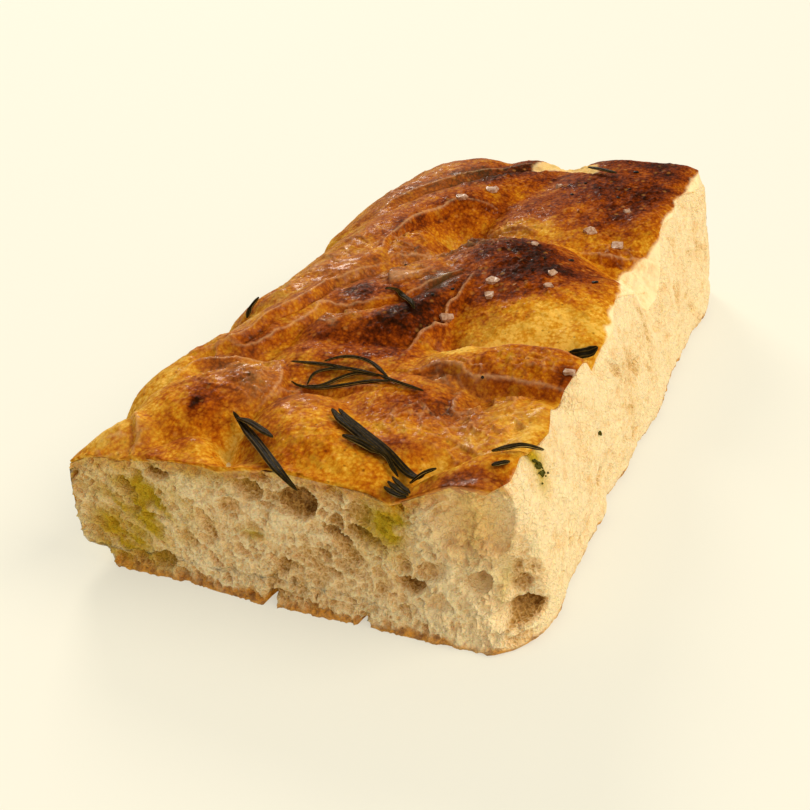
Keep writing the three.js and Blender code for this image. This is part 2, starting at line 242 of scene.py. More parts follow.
def smooth_path(points: Sequence[Sequence[float]], steps: int) -> Array:
    """Runs a Catmull-Rom curve through points.

    Args:
        points: the points that the curve passes.
        steps: how many points to return for each span.

    Returns:
        Points along the curve, one row each.
    """
    knots = np.array(points, float)
    ends = np.vstack([2 * knots[0] - knots[1], knots, 2 * knots[-1] - knots[-2]])
    spans = []
    for index in range(1, len(ends) - 2):
        before, start, end, after = ends[index - 1 : index + 3]
        t = np.linspace(0, 1, steps, endpoint=False)[:, None]
        spans.append(
            0.5 * (2 * start + (end - before) * t + (2 * before - 5 * start + 4 * end - after) * t**2
                   + (3 * start - before - 3 * end + after) * t**3)
        )
    return np.vstack([*spans, knots[-1:]])


# ---- the slab's form ----


@dataclass(frozen=True)
class Patch:
    """A soft-edged spot: centre, half sizes, strength and turn in degrees."""

    at: Point
    half: Point
    strength: float
    turn: float = 0.0


def patches(*rows: Sequence[float]) -> tuple[Patch, ...]:
    """Returns patches from rows of x, y, two half sizes, strength and, where it isn't 0, turn."""
    return tuple(Patch(row[:2], row[2:4], *row[4:]) for row in rows)


def patch_sum(spots: Iterable[Patch], u: Array, v: Array, sharpness: float = 1.0) -> Array:
    """Returns the strengths of soft spots at places, added up.

    Args:
        spots: the spots.
        u: the places along u.
        v: the places along v.
        sharpness: how fast a spot fades past its half sizes.
    """
    total = np.zeros_like(u)
    for spot in spots:
        away = oval(u - spot.at[0], v - spot.at[1], spot.half, spot.turn)
        total += spot.strength * np.exp(-sharpness * away)
    return total


@dataclass(frozen=True)
class Pillow:
    """One puffed pillow of the crust.

    Its spine has (x, y, crest height) points, and at its reach it has sunk by its drop.
    """

    spine: tuple[tuple[float, float, float], ...]
    reach: float
    drop: float


PILLOWS: dict[str, Pillow] = {
    "corner_bubble": Pillow(((5, 3, 35.2), (8, 9, 36)), 9, 4),
    "corner_hump": Pillow(((20, 0, 36), (24, 5, 36.3)), 7, 4),
    "front_left": Pillow(((15, 22, 39.2), (22, 29, 39.3)), 14, 5),
    "front_middle": Pillow(((43, 21, 39.5), (57, 9, 38.8), (72, -2, 37)), 13, 5.5),
    "plain": Pillow(((62, 38, 37.6), (72, 18, 36.8)), 14, 3),
    "lip": Pillow(((86, 2, 41), (99, 11, 41.5)), 9, 6),
    "right_rim": Pillow(((98.5, 17, 38.8), (98.5, 36, 38.4)), 7, 3),
    "trough": Pillow(((88, 26, 37), (92, 34, 37.2)), 13, 3),
    "cross_ridge": Pillow(((66, 52, 38.6), (84, 56, 41), (101, 54, 40.8)), 9, 4.5),
    "sprig_bed": Pillow(((34, 50, 38.2), (52, 50, 37.8)), 12, 2.8),
    "left_low": Pillow(((2, 36, 36.5), (10, 52, 38.5)), 11, 4),
    "left_middle": Pillow(((14, 60, 40), (20, 78, 41)), 11, 4.5),
    "dark_left": Pillow(((32, 62, 40.5), (46, 72, 41)), 10, 4),
    "dark_wedge": Pillow(((50, 78, 41.5), (56, 92, 42.5)), 7, 4),
    "crumpled": Pillow(((32, 84, 41.5), (44, 98, 42.5)), 12, 3.6),
    "great": Pillow(((63, 108, 45), (80, 90, 42.6)), 23, 7),
    "great_right": Pillow(((91, 99, 41.2), (94, 76, 39.5)), 11, 3.5),
    "long_inner": Pillow(((20, 92, 42), (27, 112, 42.5), (30, 124, 42)), 9, 4.5),
    "long_outer": Pillow(((10, 84, 41), (14, 112, 43), (22, 142, 44.2), (38, 170, 45)), 13, 4.8),
    "back_left": Pillow(((10, 150, 44), (24, 182, 46)), 17, 5),
    "back_middle": Pillow(((44, 178, 44.3), (48, 192, 43.6)), 15, 4),
    "back_right": Pillow(((70, 158, 43), (76, 178, 45.4), (80, 192, 45.8)), 26, 5),
    "back_corner": Pillow(((92, 152, 42), (97, 192, 44.6)), 14, 4),
}

# Hollows pressed into the dough, as deep as they are strong, in millimetres.
DIMPLES: dict[str, Patch] = {
    "golden_hollow": Patch((39, 136), (12, 12), 5, -15),
    "sprig_dimple": Patch((41, 42), (11, 7), 1.8),
    "front_valley": Patch((32, 14), (4, 14), 1.6, -5),
    "lip_valley": Patch((77, 8), (5, 12), 2.5, -25),
    "behind_lip": Patch((83, 8.5), (5, 4.5), 2.4, -20),
    "side_valley": Patch((97, 66), (9, 5), 1.6),
    "back_notch": Patch((56, 196), (8, 6), 1.6),
    "left_nick": Patch((-2, 18), (6, 5), 1.2),
}


@dataclass(frozen=True)
class SlabForm:
    """The slab's main shape, the same as its solid's.

    The outlines are (share of the height, x) and (x, z) rows in millimetres.
    """

    length: float = 198.0
    crease: float = 0.6
    dome_power: float = 1.05
    slope_blend: float = 1.4
    cut_end_blend: float = 10.0
    dimple_edge: float = 1.6
    front_edge: tuple[Point, ...] = (
        (-9, 27), (0, 31), (8, 31.5), (16, 33.5), (28, 34), (50, 36), (68, 34),
        (74.5, 32.5), (80, 35), (86, 38.5), (93, 40), (99, 39.5), (106, 36),
    )
    left_outline: tuple[Point, ...] = (
        (0, 1), (0.04, -0.3), (0.17, -0.6), (0.2, -7), (0.26, -8.3), (0.6, -8.7),
        (0.85, -8.6), (0.94, -7.8), (1, -6.4),
    )
    right_outline: tuple[Point, ...] = (
        (0, 102.5), (0.04, 104.3), (0.15, 104.8), (0.45, 104), (0.75, 102.2), (0.92, 100.3), (1, 98),
    )

    def pillow_height(self, x: Array, y: Array) -> Array:
        """Returns the height of the pillows, run together along soft creases."""
        heights = []
        for pillow in PILLOWS.values():
            squared = np.full_like(x, np.inf)
            crest = np.zeros_like(x)
            for (x0, y0, crest0), (x1, y1, crest1) in zip(pillow.spine[:-1], pillow.spine[1:]):
                dx, dy = x1 - x0, y1 - y0
                along = np.clip(((x - x0) * dx + (y - y0) * dy) / (dx * dx + dy * dy), 0, 1)
                here = (x - x0 - along * dx) ** 2 + (y - y0 - along * dy) ** 2
                nearer = here < squared
                squared = np.where(nearer, here, squared)
                crest = np.where(nearer, crest0 + (crest1 - crest0) * along, crest)
            heights.append(crest - pillow.drop * (squared / pillow.reach**2) ** self.dome_power)
        highest = np.max(heights, axis=0)
        blend = sum(np.exp((height - highest) / self.crease) for height in heights)
        return highest + self.crease * (np.log(blend) - 0.35)

    def left_slope(self, x: Array, y: Array) -> Array:
        """Returns the height of the baked left edge, which falls away in one long slope."""
        waves = 0.7 * np.sin(y / 11 + 0.6) + 0.4 * np.sin(y / 4.7)
        outer = 0.045 * np.minimum(x + 3, 0) ** 2
        rises = 1.2 * bell(y, 12, 13) - 3 * bell(y, 93, 21) + 1.4 * smooth_step(148, 172, y)
        return 37.2 + 0.66 * x - outer + waves + rises

    def crust_height(self, x: Array, y: Array) -> Array:
        """Returns the height of the crust over the base.

        Args:
            x: places across the slab.
            y: places along the slab.
        """
        free = self.pillow_height(x, y) - patch_sum(DIMPLES.values(), x, y, self.dimple_edge)
        slope = self.left_slope(x, y)
        lower = np.minimum(free, slope)
        meet = np.exp((lower - free) / self.slope_blend) + np.exp((lower - slope) / self.slope_blend)
        shoulder = 2.2 * np.clip((x - 91) / 10, 0, 1) ** 2.2
        rounded = lower - self.slope_blend * np.log(meet) - shoulder
        inward = smooth_step(-1, 10, y)
        edge = read_off(self.front_edge, x) * (1 - inward) + rounded * inward
        return edge - 1.5 * np.clip((y - 190) / 8, 0, 1) ** 2.5

    def left_side(self, y: Array, level: Array) -> Array:
        """Returns x of the undercut left wall at a share of the height."""
        waves = 0.6 * np.sin(y / 17 + 1) + 0.35 * np.sin(y / 7.3 + 2)
        return read_off(self.left_outline, level) + waves * smooth_step(0.13, 0.3, level)

    def right_side(self, y: Array, level: Array) -> Array:
        """Returns x of the right wall at a share of the height."""
        flare = 2 * smooth_step(50, 120, y) - 2 * smooth_step(182, 200, y)
        low_waves = 0.7 * np.sin(y / 13 + 0.5) + 0.5 * np.sin(y / 5.3)
        edge_waves = np.sin(y / 9) + 0.8 * np.sin(y / 4.1 + 1) + 1.8 * smooth_step(170, 196, y)
        tooth = 1.6 * bell(y, 52, 4) * (1 - smooth_step(0.1, 0.3, level))
        corner = 8.5 * np.exp(-y / 4.5) * (1 - 0.75 * smooth_step(0.2, 0.95, level))
        return (
            read_off(self.right_outline, level) + flare * (1 - 0.6 * level)
            + low_waves * (1 - level) + edge_waves * smooth_step(0.6, 1, level) + tooth - corner
        )

    def cut_end_relief(self, x: Array, level: Array) -> Array:
        """Returns how far the cut end stands behind its plane: the base sags forward."""
        return -1.8 * (1 - smooth_step(0, 0.35, level)) * smooth_step(20, 45, x)

    def surface(self, across: Array, along: Array, level: Array) -> Array:
        """Returns points of the slab's surface from shares across, along and up."""
        y = along * self.length
        x = self.left_side(y, level) * (1 - across) + self.right_side(y, level) * across
        forward = self.cut_end_relief(x, level) * (1 - smooth_step(0, self.cut_end_blend, y))
        return np.stack([x, y + forward, level * self.crust_height(x, y)], axis=1)


FORM = SlabForm()


# ---- relief maps ----


@dataclass
class ReliefMap:
    """A height map over a rectangle, in millimetres, that features are pressed into."""

    low: Point
    high: Point
    step: float
    values: Array = field(init=False)

    def __post_init__(self) -> None:
        """Starts the map flat."""
        rows = int(round((self.high[1] - self.low[1]) / self.step)) + 1
        columns = int(round((self.high[0] - self.low[0]) / self.step)) + 1
        self.values = np.zeros((rows, columns))

    def places(self) -> tuple[Array, Array]:
        """Returns the u and v of every cell."""
        v, u = np.indices(self.values.shape)
        return self.low[0] + u * self.step, self.low[1] + v * self.step

    def window(self, u: float, v: float, reach: float) -> tuple[tuple[slice, slice], Array, Array]:
        """Cuts out the cells near a point.

        Args:
            u: the window's centre.
            v: the window's centre.
            reach: half the window's side.

        Returns:
            The slices, and each cell's distance from the centre along u and v.
        """
        rows, columns = self.values.shape
        left = max(int((u - reach - self.low[0]) / self.step), 0)
        right = min(int((u + reach - self.low[0]) / self.step) + 2, columns)
        bottom = max(int((v - reach - self.low[1]) / self.step), 0)
        top = min(int((v + reach - self.low[1]) / self.step) + 2, rows)
        du = self.low[0] + np.arange(left, max(right, left)) * self.step - u
        dv = self.low[1] + np.arange(bottom, max(top, bottom)) * self.step - v
        grid_u, grid_v = np.meshgrid(du, dv)
        return (slice(bottom, max(top, bottom)), slice(left, max(right, left))), grid_u, grid_v

    def noise(self, rng: Rng, cell: Point) -> Array:
        """Returns smooth random values from -1 to 1.

        Args:
            rng: the source of random numbers.
            cell: the noise's grain along u and v, in millimetres.
        """
        rows, columns = self.values.shape
        grid_rows = int(rows * self.step / cell[1]) + 3
        grid_columns = int(columns * self.step / cell[0]) + 3
        lattice = rng.uniform(-1, 1, (grid_rows, grid_columns))
        v = np.arange(rows) * self.step / cell[1]
        u = np.arange(columns) * self.step / cell[0]
        iv, iu = v.astype(int), u.astype(int)
        fv = smooth_step(0, 1, v - iv)[:, None]
        fu = smooth_step(0, 1, u - iu)[None, :]
        near = lattice[iv][:, iu] * (1 - fu) + lattice[iv][:, iu + 1] * fu
        far = lattice[iv + 1][:, iu] * (1 - fu) + lattice[iv + 1][:, iu + 1] * fu
        return near * (1 - fv) + far * fv

    def blurred(self, reach: float, values: Array | None = None) -> Array:
        """Returns the map, or another array like it, softened over a reach in millimetres."""
        half = max(int(round(2 * reach / self.step)), 1)
        weights = np.exp(-((np.arange(-half, half + 1) * self.step / reach) ** 2))
        weights /= weights.sum()
        soft = self.values if values is None else values
        for axis in (0, 1):
            margin = [(half, half) if side == axis else (0, 0) for side in (0, 1)]
            wide = np.pad(soft, margin, mode="edge")
            size = soft.shape[axis]
            soft = sum(
                weight * np.take(wide, range(start, start + size), axis=axis)
                for start, weight in enumerate(weights)
            )
        return soft

    def cells(
        self, rng: Rng, cell: float, stretch: float = 1.0, turn: float = 0.0
    ) -> tuple[Array, Array]:
        """Divides the map into irregular cells, as bubbles pressed together are.

        Args:
            rng: the source of random numbers.
            cell: the cells' size in millimetres.
            stretch: how much longer than wide the cells are.
            turn: the way the cells run, in degrees.

        Returns:
            How far each place is from its cell's wall, in cells, and each cell's random number.
        """
        u, v = self.places()
        bend = 0.4 * cell
        grain = (1.6 * cell, 1.6 * cell)
        u = u + bend * self.noise(rng, grain)
        v = v + bend * self.noise(rng, grain)
        along, across = turn_axes(u, v, turn)
        along, across = along / (cell * math.sqrt(stretch)), across * math.sqrt(stretch) / cell
        along, across = along - along.min() + 2, across - across.min() + 2
        size = (int(across.max()) + 4, int(along.max()) + 4)
        jitter_u, jitter_v, luck = rng.uniform(0, 1, (3, *size))
        base_u, base_v = along.astype(int), across.astype(int)
        first = np.full(u.shape, np.inf)
        second = np.full(u.shape, np.inf)
        owner = np.zeros_like(u)
        for step_v in (-1, 0, 1):
            for step_u in (-1, 0, 1):
                iu, iv = base_u + step_u, base_v + step_v
                away = np.hypot(iu + jitter_u[iv, iu] - along, iv + jitter_v[iv, iu] - across)
                nearer = away < first
                second = np.where(nearer, first, np.minimum(second, away))
                owner = np.where(nearer, luck[iv, iu], owner)
                first = np.where(nearer, away, first)
        return second - first, owner

    def sample(self, u: Array, v: Array, values: Array | None = None) -> Array:
        """Reads the map between its cells.

        Args:
            u: places along u.
            v: places along v.
            values: another array of the same shape to read instead.
        """
        source = self.values if values is None else values
        rows, columns = source.shape
        column = np.clip((u - self.low[0]) / self.step, 0, columns - 1.001)
        row = np.clip((v - self.low[1]) / self.step, 0, rows - 1.001)
        iu, iv = column.astype(int), row.astype(int)
        fu, fv = column - iu, row - iv
        near = source[iv, iu] * (1 - fu) + source[iv, iu + 1] * fu
        far = source[iv + 1, iu] * (1 - fu) + source[iv + 1, iu + 1] * fu
        return near * (1 - fv) + far * fv


@dataclass(frozen=True)
class Fold:
    """A fold of the skin: a crest line, gentle on its left side and steep on its right."""

    path: tuple[Point, ...]
    height: float
    gentle: float = 6.0
    steep: float = 1.1


@dataclass(frozen=True)
class Crumple:
    """A patch of thin wrinkled skin: centre, half sizes, turn, cell size and height."""

    at: Point
    half: Point
    turn: float
    cell: float
    height: float
    stretch: float = 1.8


FOLDS: dict[str, Fold] = {
    "back_ridge": Fold(((10, 134), (14, 146), (20, 157), (26, 167), (33, 176), (46, 190)), 1.5, 6, 2.2),
    "hollow_rim": Fold(((27, 104), (24, 113), (24.5, 122), (26, 134), (30, 143), (34, 149.5), (44, 154)),
                       1.7, 6, 1.0),
    "left_crest": Fold(((4, 43), (9, 46), (13, 52), (15, 60), (18, 66), (20, 72), (21, 78), (20, 84),
                        (23, 87), (26, 93), (30, 102)), 1.7, 5, 1.2),
    "inner_crest": Fold(((8, 46.5), (14, 47), (17, 50), (19, 54), (22, 60), (24, 66), (24, 71),
                         (27, 73), (31, 73.5), (36, 76), (41, 80)), 1.5, 4, 1.1),
    "needle_line": Fold(((43, 80), (46, 86), (50, 92), (54, 97)), 1.1, 3, 1.0),
    "great_flap": Fold(((58.5, 95), (58.5, 85), (57, 78), (58, 74), (55.5, 68), (54, 63), (55, 56)),
                       1.6, 4, 0.9),
    "cross_crest": Fold(((99, 56), (92, 57), (84, 57.5), (76, 56), (70, 58), (62, 60)), 0.7, 4, 1.2),
    "cross_crease": Fold(((60, 46), (68, 48.5), (76, 46), (82, 47), (90, 46.5), (98, 46.5)), 1.5, 5, 0.9),
    "back_lip": Fold(((78, 129), (86, 130), (92, 131), (97, 134)), 1.3, 6, 0.9),
    "great_back": Fold(((40, 121), (50, 124), (60, 123), (70, 118)), 0.5, 6, 2.0),
    "front_left_back": Fold(((25, 44), (19, 45), (12, 41), (6, 38), (4, 31)), 1.2, 4, 1.1),
    "front_left_right": Fold(((32, 22), (33, 30), (30, 38), (25, 44)), 1.0, 4, 1.0),
    "corner_ridge": Fold(((2, 16), (6, 12), (10, 7), (12, 1)), 1.0, 3.5, 0.9),
    "sprig_shelf": Fold(((33, 26), (34.5, 33), (38, 37.6), (46, 38), (56, 37)), 0.9, 4, 1.0),
    "crumpled_edge": Fold(((29, 104), (34, 109), (38, 115), (40, 122)), 1.0, 4, 1.0),
    "skin_flap": Fold(((44, 139), (50, 141.5), (56, 140), (63, 136.5)), 0.8, 3, 0.8),
    "trough_rim": Fold(((74, 44), (74.5, 38), (76, 33), (80, 30)), 0.8, 3, 0.9),
    "left_seam": Fold(((-4, 62), (-3, 68), (0, 76), (4, 86)), 0.6, 4, 1.2),
}

CRUMPLES: dict[str, Crumple] = {
    "hollow_front": Crumple((40, 112), (13, 6), 30, 3.4, 0.8),
    "hollow_facet": Crumple((30, 120), (6, 10), -10, 4.6, 0.7),
    "needle_slope": Crumple((38, 93), (8, 8), 60, 4.0, 0.9),
    "dark_front": Crumple((33, 66), (8, 6), 70, 3.2, 0.8),
    "facets": Crumple((21, 38), (6, 9), 70, 3.2, 0.8),
    "front_left_top": Crumple((29, 29), (5, 6), 30, 2.6, 0.8),
    "corner": Crumple((7, 4), (7, 6), 50, 4.0, 0.5),
    "trough": Crumple((86, 34), (12, 11), 70, 4.2, 0.65),
    "trough_low": Crumple((84, 22), (12, 8), -10, 3.4, 0.5),
    "plain": Crumple((70, 26), (8, 9), -50, 3.2, 0.4),
    "cross_flap": Crumple((66, 62), (8, 8), 35, 4.4, 0.75),
    "cross_end": Crumple((72, 47), (7, 4), 10, 2.8, 0.7),
    "hollow_right": Crumple((52, 141), (11, 5), 0, 3.4, 0.8),
    "great_left": Crumple((52, 120), (8, 9), 70, 3.6, 0.6),
    "back_fold": Crumple((88, 132), (9, 4), 5, 3.0, 0.6),
    "left_low": Crumple((4, 48), (8, 12), 60, 4.4, 0.6),
    "left_long": Crumple((12, 100), (8, 26), -12, 5.0, 0.45),
    "left_back": Crumple((10, 165), (12, 24), -15, 6.0, 0.35),
    "cross_face": Crumple((88, 52), (11, 4), 5, 2.6, 0.5),
    "front_middle": Crumple((44, 28), (5, 8), 70, 3.4, 0.45),
}

# Where the skin blistered into many tiny bubbles.
BLISTERED: tuple[Patch, ...] = patches(
    (66, 108, 18, 13, 1.0, -15), (84, 160, 14, 20, 1.0), (54, 10, 14, 8, 0.9, -25), (18, 24, 9, 9, 0.8),
    (86, 51, 13, 5, 0.9), (46, 66, 12, 7, 0.8, 15), (78, 86, 16, 12, 0.9, -30),
    (40, 172, 16, 12, 0.6, 30), (46, 54, 14, 7, 0.5), (66, 30, 10, 10, 0.6),
)


@dataclass
class CrustRelief:
    """Folds, wrinkles, blisters and pits of the crust's skin."""

    map: ReliefMap = field(default_factory=lambda: ReliefMap((-14, -4), (112, 204), 0.2))
    # rim: pale lines along crests and creases, partly thin dry skin and partly painted highlight.
    rim: Array = field(init=False)
    # crease: where the folds' feet lie, which the browning darkens as painted shade.
    crease: Array = field(init=False)
    # The dough's swells, from broad to fine: their grain and their height, in mm.
    swells: tuple[Point, ...] = ((11.0, 0.4), (5.0, 0.26), (2.2, 0.09))
    blister_count: int = 1700
    pit_count: int = 420

    def build(self, rng: Rng) -> None:
        """Presses every feature into the map.

        Args:
            rng: the source of random numbers.
        """
        relief = self.map
        self.rim = np.zeros_like(relief.values)
        self.crease = np.zeros_like(relief.values)
        for cell, height in self.swells:
            relief.values += height * relief.noise(rng, (cell, cell))
        for fold in FOLDS.values():
            self.add_fold(fold, rng)
        for crumple in CRUMPLES.values():
            self.add_crumple(crumple, rng)
        self.add_blisters(rng)
        self.add_pits(rng)
        gap, luck = relief.cells(rng, 1.5)
        relief.values += 0.07 * smooth_step(0, 0.5, gap) * (luck > 0.3)
        relief.values = relief.blurred(0.12)

    def add_fold(self, fold: Fold, rng: Rng) -> None:
        """Raises one fold: its height dies out at both ends, and a crease runs at its foot."""
        path = smooth_path(fold.path, 8)
        path = path + 0.16 * np.sin(np.arange(len(path))[:, None] * 0.9 + rng.uniform(0, 6, 2))
        low, high = path.min(0), path.max(0)
        centre = (low + high) / 2
        reach = float((high - low).max()) / 2 + 2.5 * fold.gentle
        cells, du, dv = self.map.window(centre[0], centre[1], reach)
        u, v = du + centre[0], dv + centre[1]
        nearest = np.full(u.shape, np.inf)
        side = np.zeros_like(u)
        share = np.zeros_like(u)
        lengths = np.concatenate([[0], np.cumsum(np.hypot(*np.diff(path, axis=0).T))])
        for index, (start, end) in enumerate(zip(path[:-1], path[1:])):
            run = end - start
            size = float(run @ run)
            along = np.clip(((u - start[0]) * run[0] + (v - start[1]) * run[1]) / size, 0, 1)
            away_u, away_v = u - start[0] - along * run[0], v - start[1] - along * run[1]
            away = np.hypot(away_u, away_v)
            nearer = away < nearest
            nearest = np.where(nearer, away, nearest)
            side = np.where(nearer, run[0] * away_v - run[1] * away_u, side)
            here = lengths[index] + along * math.sqrt(size)
            share = np.where(nearer, here / lengths[-1], share)
        fade = np.sin(math.pi * np.clip(share, 0.01, 0.99)) ** 0.4
        gentle = side > 0
        rise = np.where(gentle, np.exp(-nearest / fold.gentle), np.exp(-((nearest / fold.steep) ** 1.7)))
        crease = np.where(gentle, 0, np.exp(-(((nearest - 1.7 * fold.steep) / 0.6) ** 2)))
        self.map.values[cells] += fade * fold.height * (1.25 * rise - 0.4 * crease)
        # Keeps where the crease lies, for the painted shade in the browning.
        self.crease[cells] = np.maximum(self.crease[cells], fade * crease)
        # A pale line along the crest: partly thin dry skin, partly painted highlight.
        edge = fade * np.exp(-((nearest / 0.2) ** 2)) * min(fold.height / 1.2, 1)
        self.rim[cells] = np.maximum(self.rim[cells], edge)

    def add_crumple(self, crumple: Crumple, rng: Rng) -> None:
        """Wrinkles one patch: thin creases run between tilted facets."""
        reach = max(crumple.half) * 1.2
        cells, du, dv = self.map.window(crumple.at[0], crumple.at[1], reach)
        along, across = turn_axes(du, dv, crumple.turn)
        count = int(4 * reach * reach / (crumple.cell**2) / 1.6) + 6
        centres = rng.uniform(-reach, reach, (count, 2))
        tilts = rng.uniform(-1, 1, (count, 2))
        bent_along = along + 0.35 * crumple.cell * np.sin(across / crumple.cell * 1.7 + 1)
        bent_across = across + 0.35 * crumple.cell * np.sin(along / crumple.cell * 1.3)
        away = np.sqrt(
            ((bent_along[None] - centres[:, 0, None, None]) / crumple.stretch) ** 2
            + (bent_across[None] - centres[:, 1, None, None]) ** 2
        )
        order = np.partition(away, 1, axis=0)
        owner = np.argmin(away, axis=0)
        crease = np.exp(-(order[1] - order[0]) / (0.1 * crumple.cell))
        tilt = (along - centres[owner, 0]) * tilts[owner, 0] / crumple.stretch
        tilt += (across - centres[owner, 1]) * tilts[owner, 1]
        fade = 1 - smooth_step(0.45, 1.15, oval(du, dv, crumple.half, crumple.turn))
        rise = 1.3 * crumple.height * (0.7 * crease + tilt / crumple.cell)
        self.map.values[cells] += rise * fade
        # Pale lines along the creases: partly thin dry skin, partly painted highlight.
        self.rim[cells] = np.maximum(self.rim[cells], 0.6 * fade * smooth_step(0.55, 1, crease))

    def add_blisters(self, rng: Rng) -> None:
        """Scatters tiny bubbles over the blistered patches and a few elsewhere."""
        strengths = np.array([p.strength * p.half[0] * p.half[1] for p in BLISTERED])
        owners = rng.choice(len(BLISTERED), self.blister_count, p=strengths / strengths.sum())
        for owner in owners:
            patch = BLISTERED[owner]
            across, along = rng.normal(0, 0.55, 2) * patch.half
            turn = math.radians(patch.turn)
            u = patch.at[0] + math.cos(turn) * across - math.sin(turn) * along
            v = patch.at[1] + math.sin(turn) * across + math.cos(turn) * along
            self.add_cap(u, v, rng.uniform(0.5, 1.2), rng.uniform(0.14, 0.34))
        for _ in range(self.blister_count // 3):
            u, v = rng.uniform(-4, 100), rng.uniform(2, 196)
            self.add_cap(u, v, rng.uniform(0.4, 1.6), rng.uniform(0.08, 0.26))

    def add_pits(self, rng: Rng) -> None:
        """Scatters small pits where bubbles broke."""
        for _ in range(self.pit_count):
            u, v = rng.uniform(-6, 101), rng.uniform(1, 197)
            self.add_cap(u, v, rng.uniform(0.35, 0.8), -rng.uniform(0.12, 0.34))

    def add_cap(self, u: float, v: float, radius: float, height: float) -> None:
        """Adds one round cap, raised or sunk."""
        cells, du, dv = self.map.window(u, v, radius)
        away = (du**2 + dv**2) / radius**2
        self.map.values[cells] += height * np.clip(1 - away, 0, 1) ** 1.2


@dataclass(frozen=True)
class Hole:
    """A hole of the crumb on a cut face: centre, half sizes, depth and turn in degrees."""

    u: float
    v: float
    half_u: float
    half_v: float
    depth: float
    turn: float = 0.0


# Holes that show one by one on the cut end, in its x and z.
CUT_END_HOLES: dict[str, Hole] = {
    "lip_cave_left": Hole(87.5, 30.5, 5.2, 8.0, 2.8, 8),
    "lip_cave_right": Hole(95.0, 29.5, 4.4, 7.6, 2.0, -5),
    "pentagon": Hole(91.5, 15, 2.8, 3.0, 6.0, 20),
    "beside_pentagon": Hole(82.5, 17, 3, 2.4, 2.6),
    "small_by_pentagon": Hole(76, 16, 1.6, 1.3, 2.2),
    "round_shallow": Hole(53, 28, 4.6, 4.2, 3.2),
    "upper_middle": Hole(41, 29, 4, 3, 3.0),
    "upper_middle_low": Hole(36, 24.5, 3, 2.2, 1.8),
    "upper_right": Hole(67, 28, 3.2, 3.4, 2.2),
    "lower_left": Hole(15, 5, 3.6, 2.8, 3.6),
    "lower_left_small": Hole(8, 5, 2.4, 1.8, 2.4),
    "lower_right": Hole(99.5, 7.6, 5.2, 2.7, 4.4, 14),
    "corner_pocket": Hole(99.2, 14.2, 2.4, 2.6, 2.6, 10),
    "low_round": Hole(83.5, 9.5, 2.4, 2.2, 2.2),
    "middle_low": Hole(77, 12, 3.4, 1.8, 3.6, -10),
    "left_triangle": Hole(8, 24, 2.0, 2.6, 3.4, 15),
    "left_slot": Hole(18, 29, 3, 1.5, 3.4),
    "left_brown": Hole(13, 22, 3.8, 3.0, 1.8),
    "middle_slot": Hole(61, 21.5, 4, 1.4, 2.8, -30),
    "right_slot": Hole(68.8, 21.8, 4.8, 1.4, 2.8, -28),
    "right_round": Hole(97, 17, 2.6, 2.8, 1.8),
    "flat_low": Hole(58, 11, 5, 1.2, 1.6),
    "flat_middle": Hole(48, 11, 4, 1.3, 1.4),
    "olive_slot": Hole(42, 17.5, 2, 0.8, 2.0),
    "long_left": Hole(29, 18, 2.2, 5, 1.6, 20),
}
# Nicks torn out of the base along the cut end: x, half width, height and depth.
BASE_NICKS: tuple[tuple[float, float, float, float], ...] = ((43.5, 1.7, 3.8, 7), (66.3, 1.5, 2.2, 5))


class CrumbFace(Enum):
    """The faces that show crumb."""

    CUT_END = "cut end"
    BACK = "back"
    RIGHT = "right side"
    LEFT = "left side"


@dataclass(frozen=True)
class Foam:
    """One size of crumb cells: cell size, share of them that opened and depth, in mm."""

    cell: float
    share: float
    depth: float
    stretch: float = 1.35


@dataclass(frozen=True)
class CrumbGrain:
    """How a face's crumb looks: its foams, its long flutes and its torn roughness."""

    foams: tuple[Foam, ...]
    flutes: float
    torn: float


GRAINS: dict[CrumbFace, CrumbGrain] = {
    CrumbFace.CUT_END: CrumbGrain(
        (Foam(6.4, 0.1, 1.6), Foam(3.7, 0.3, 1.3), Foam(2.0, 0.6, 0.95), Foam(1.05, 0.8, 0.55)), 0.2, 0.34
    ),
    CrumbFace.BACK: CrumbGrain(
        (Foam(6.8, 0.08, 1.7), Foam(3.9, 0.24, 1.2), Foam(2.1, 0.45, 0.8), Foam(1.15, 0.7, 0.45)), 0.3, 0.24
    ),
    CrumbFace.RIGHT: CrumbGrain(
        (Foam(5, 0.03, 0.8), Foam(2.4, 0.14, 0.45), Foam(1.1, 0.5, 0.26)), 0.34, 0.16
    ),
    CrumbFace.LEFT: CrumbGrain((Foam(4, 0.05, 0.4), Foam(2, 0.2, 0.2)), 0.4, 0.1),
}


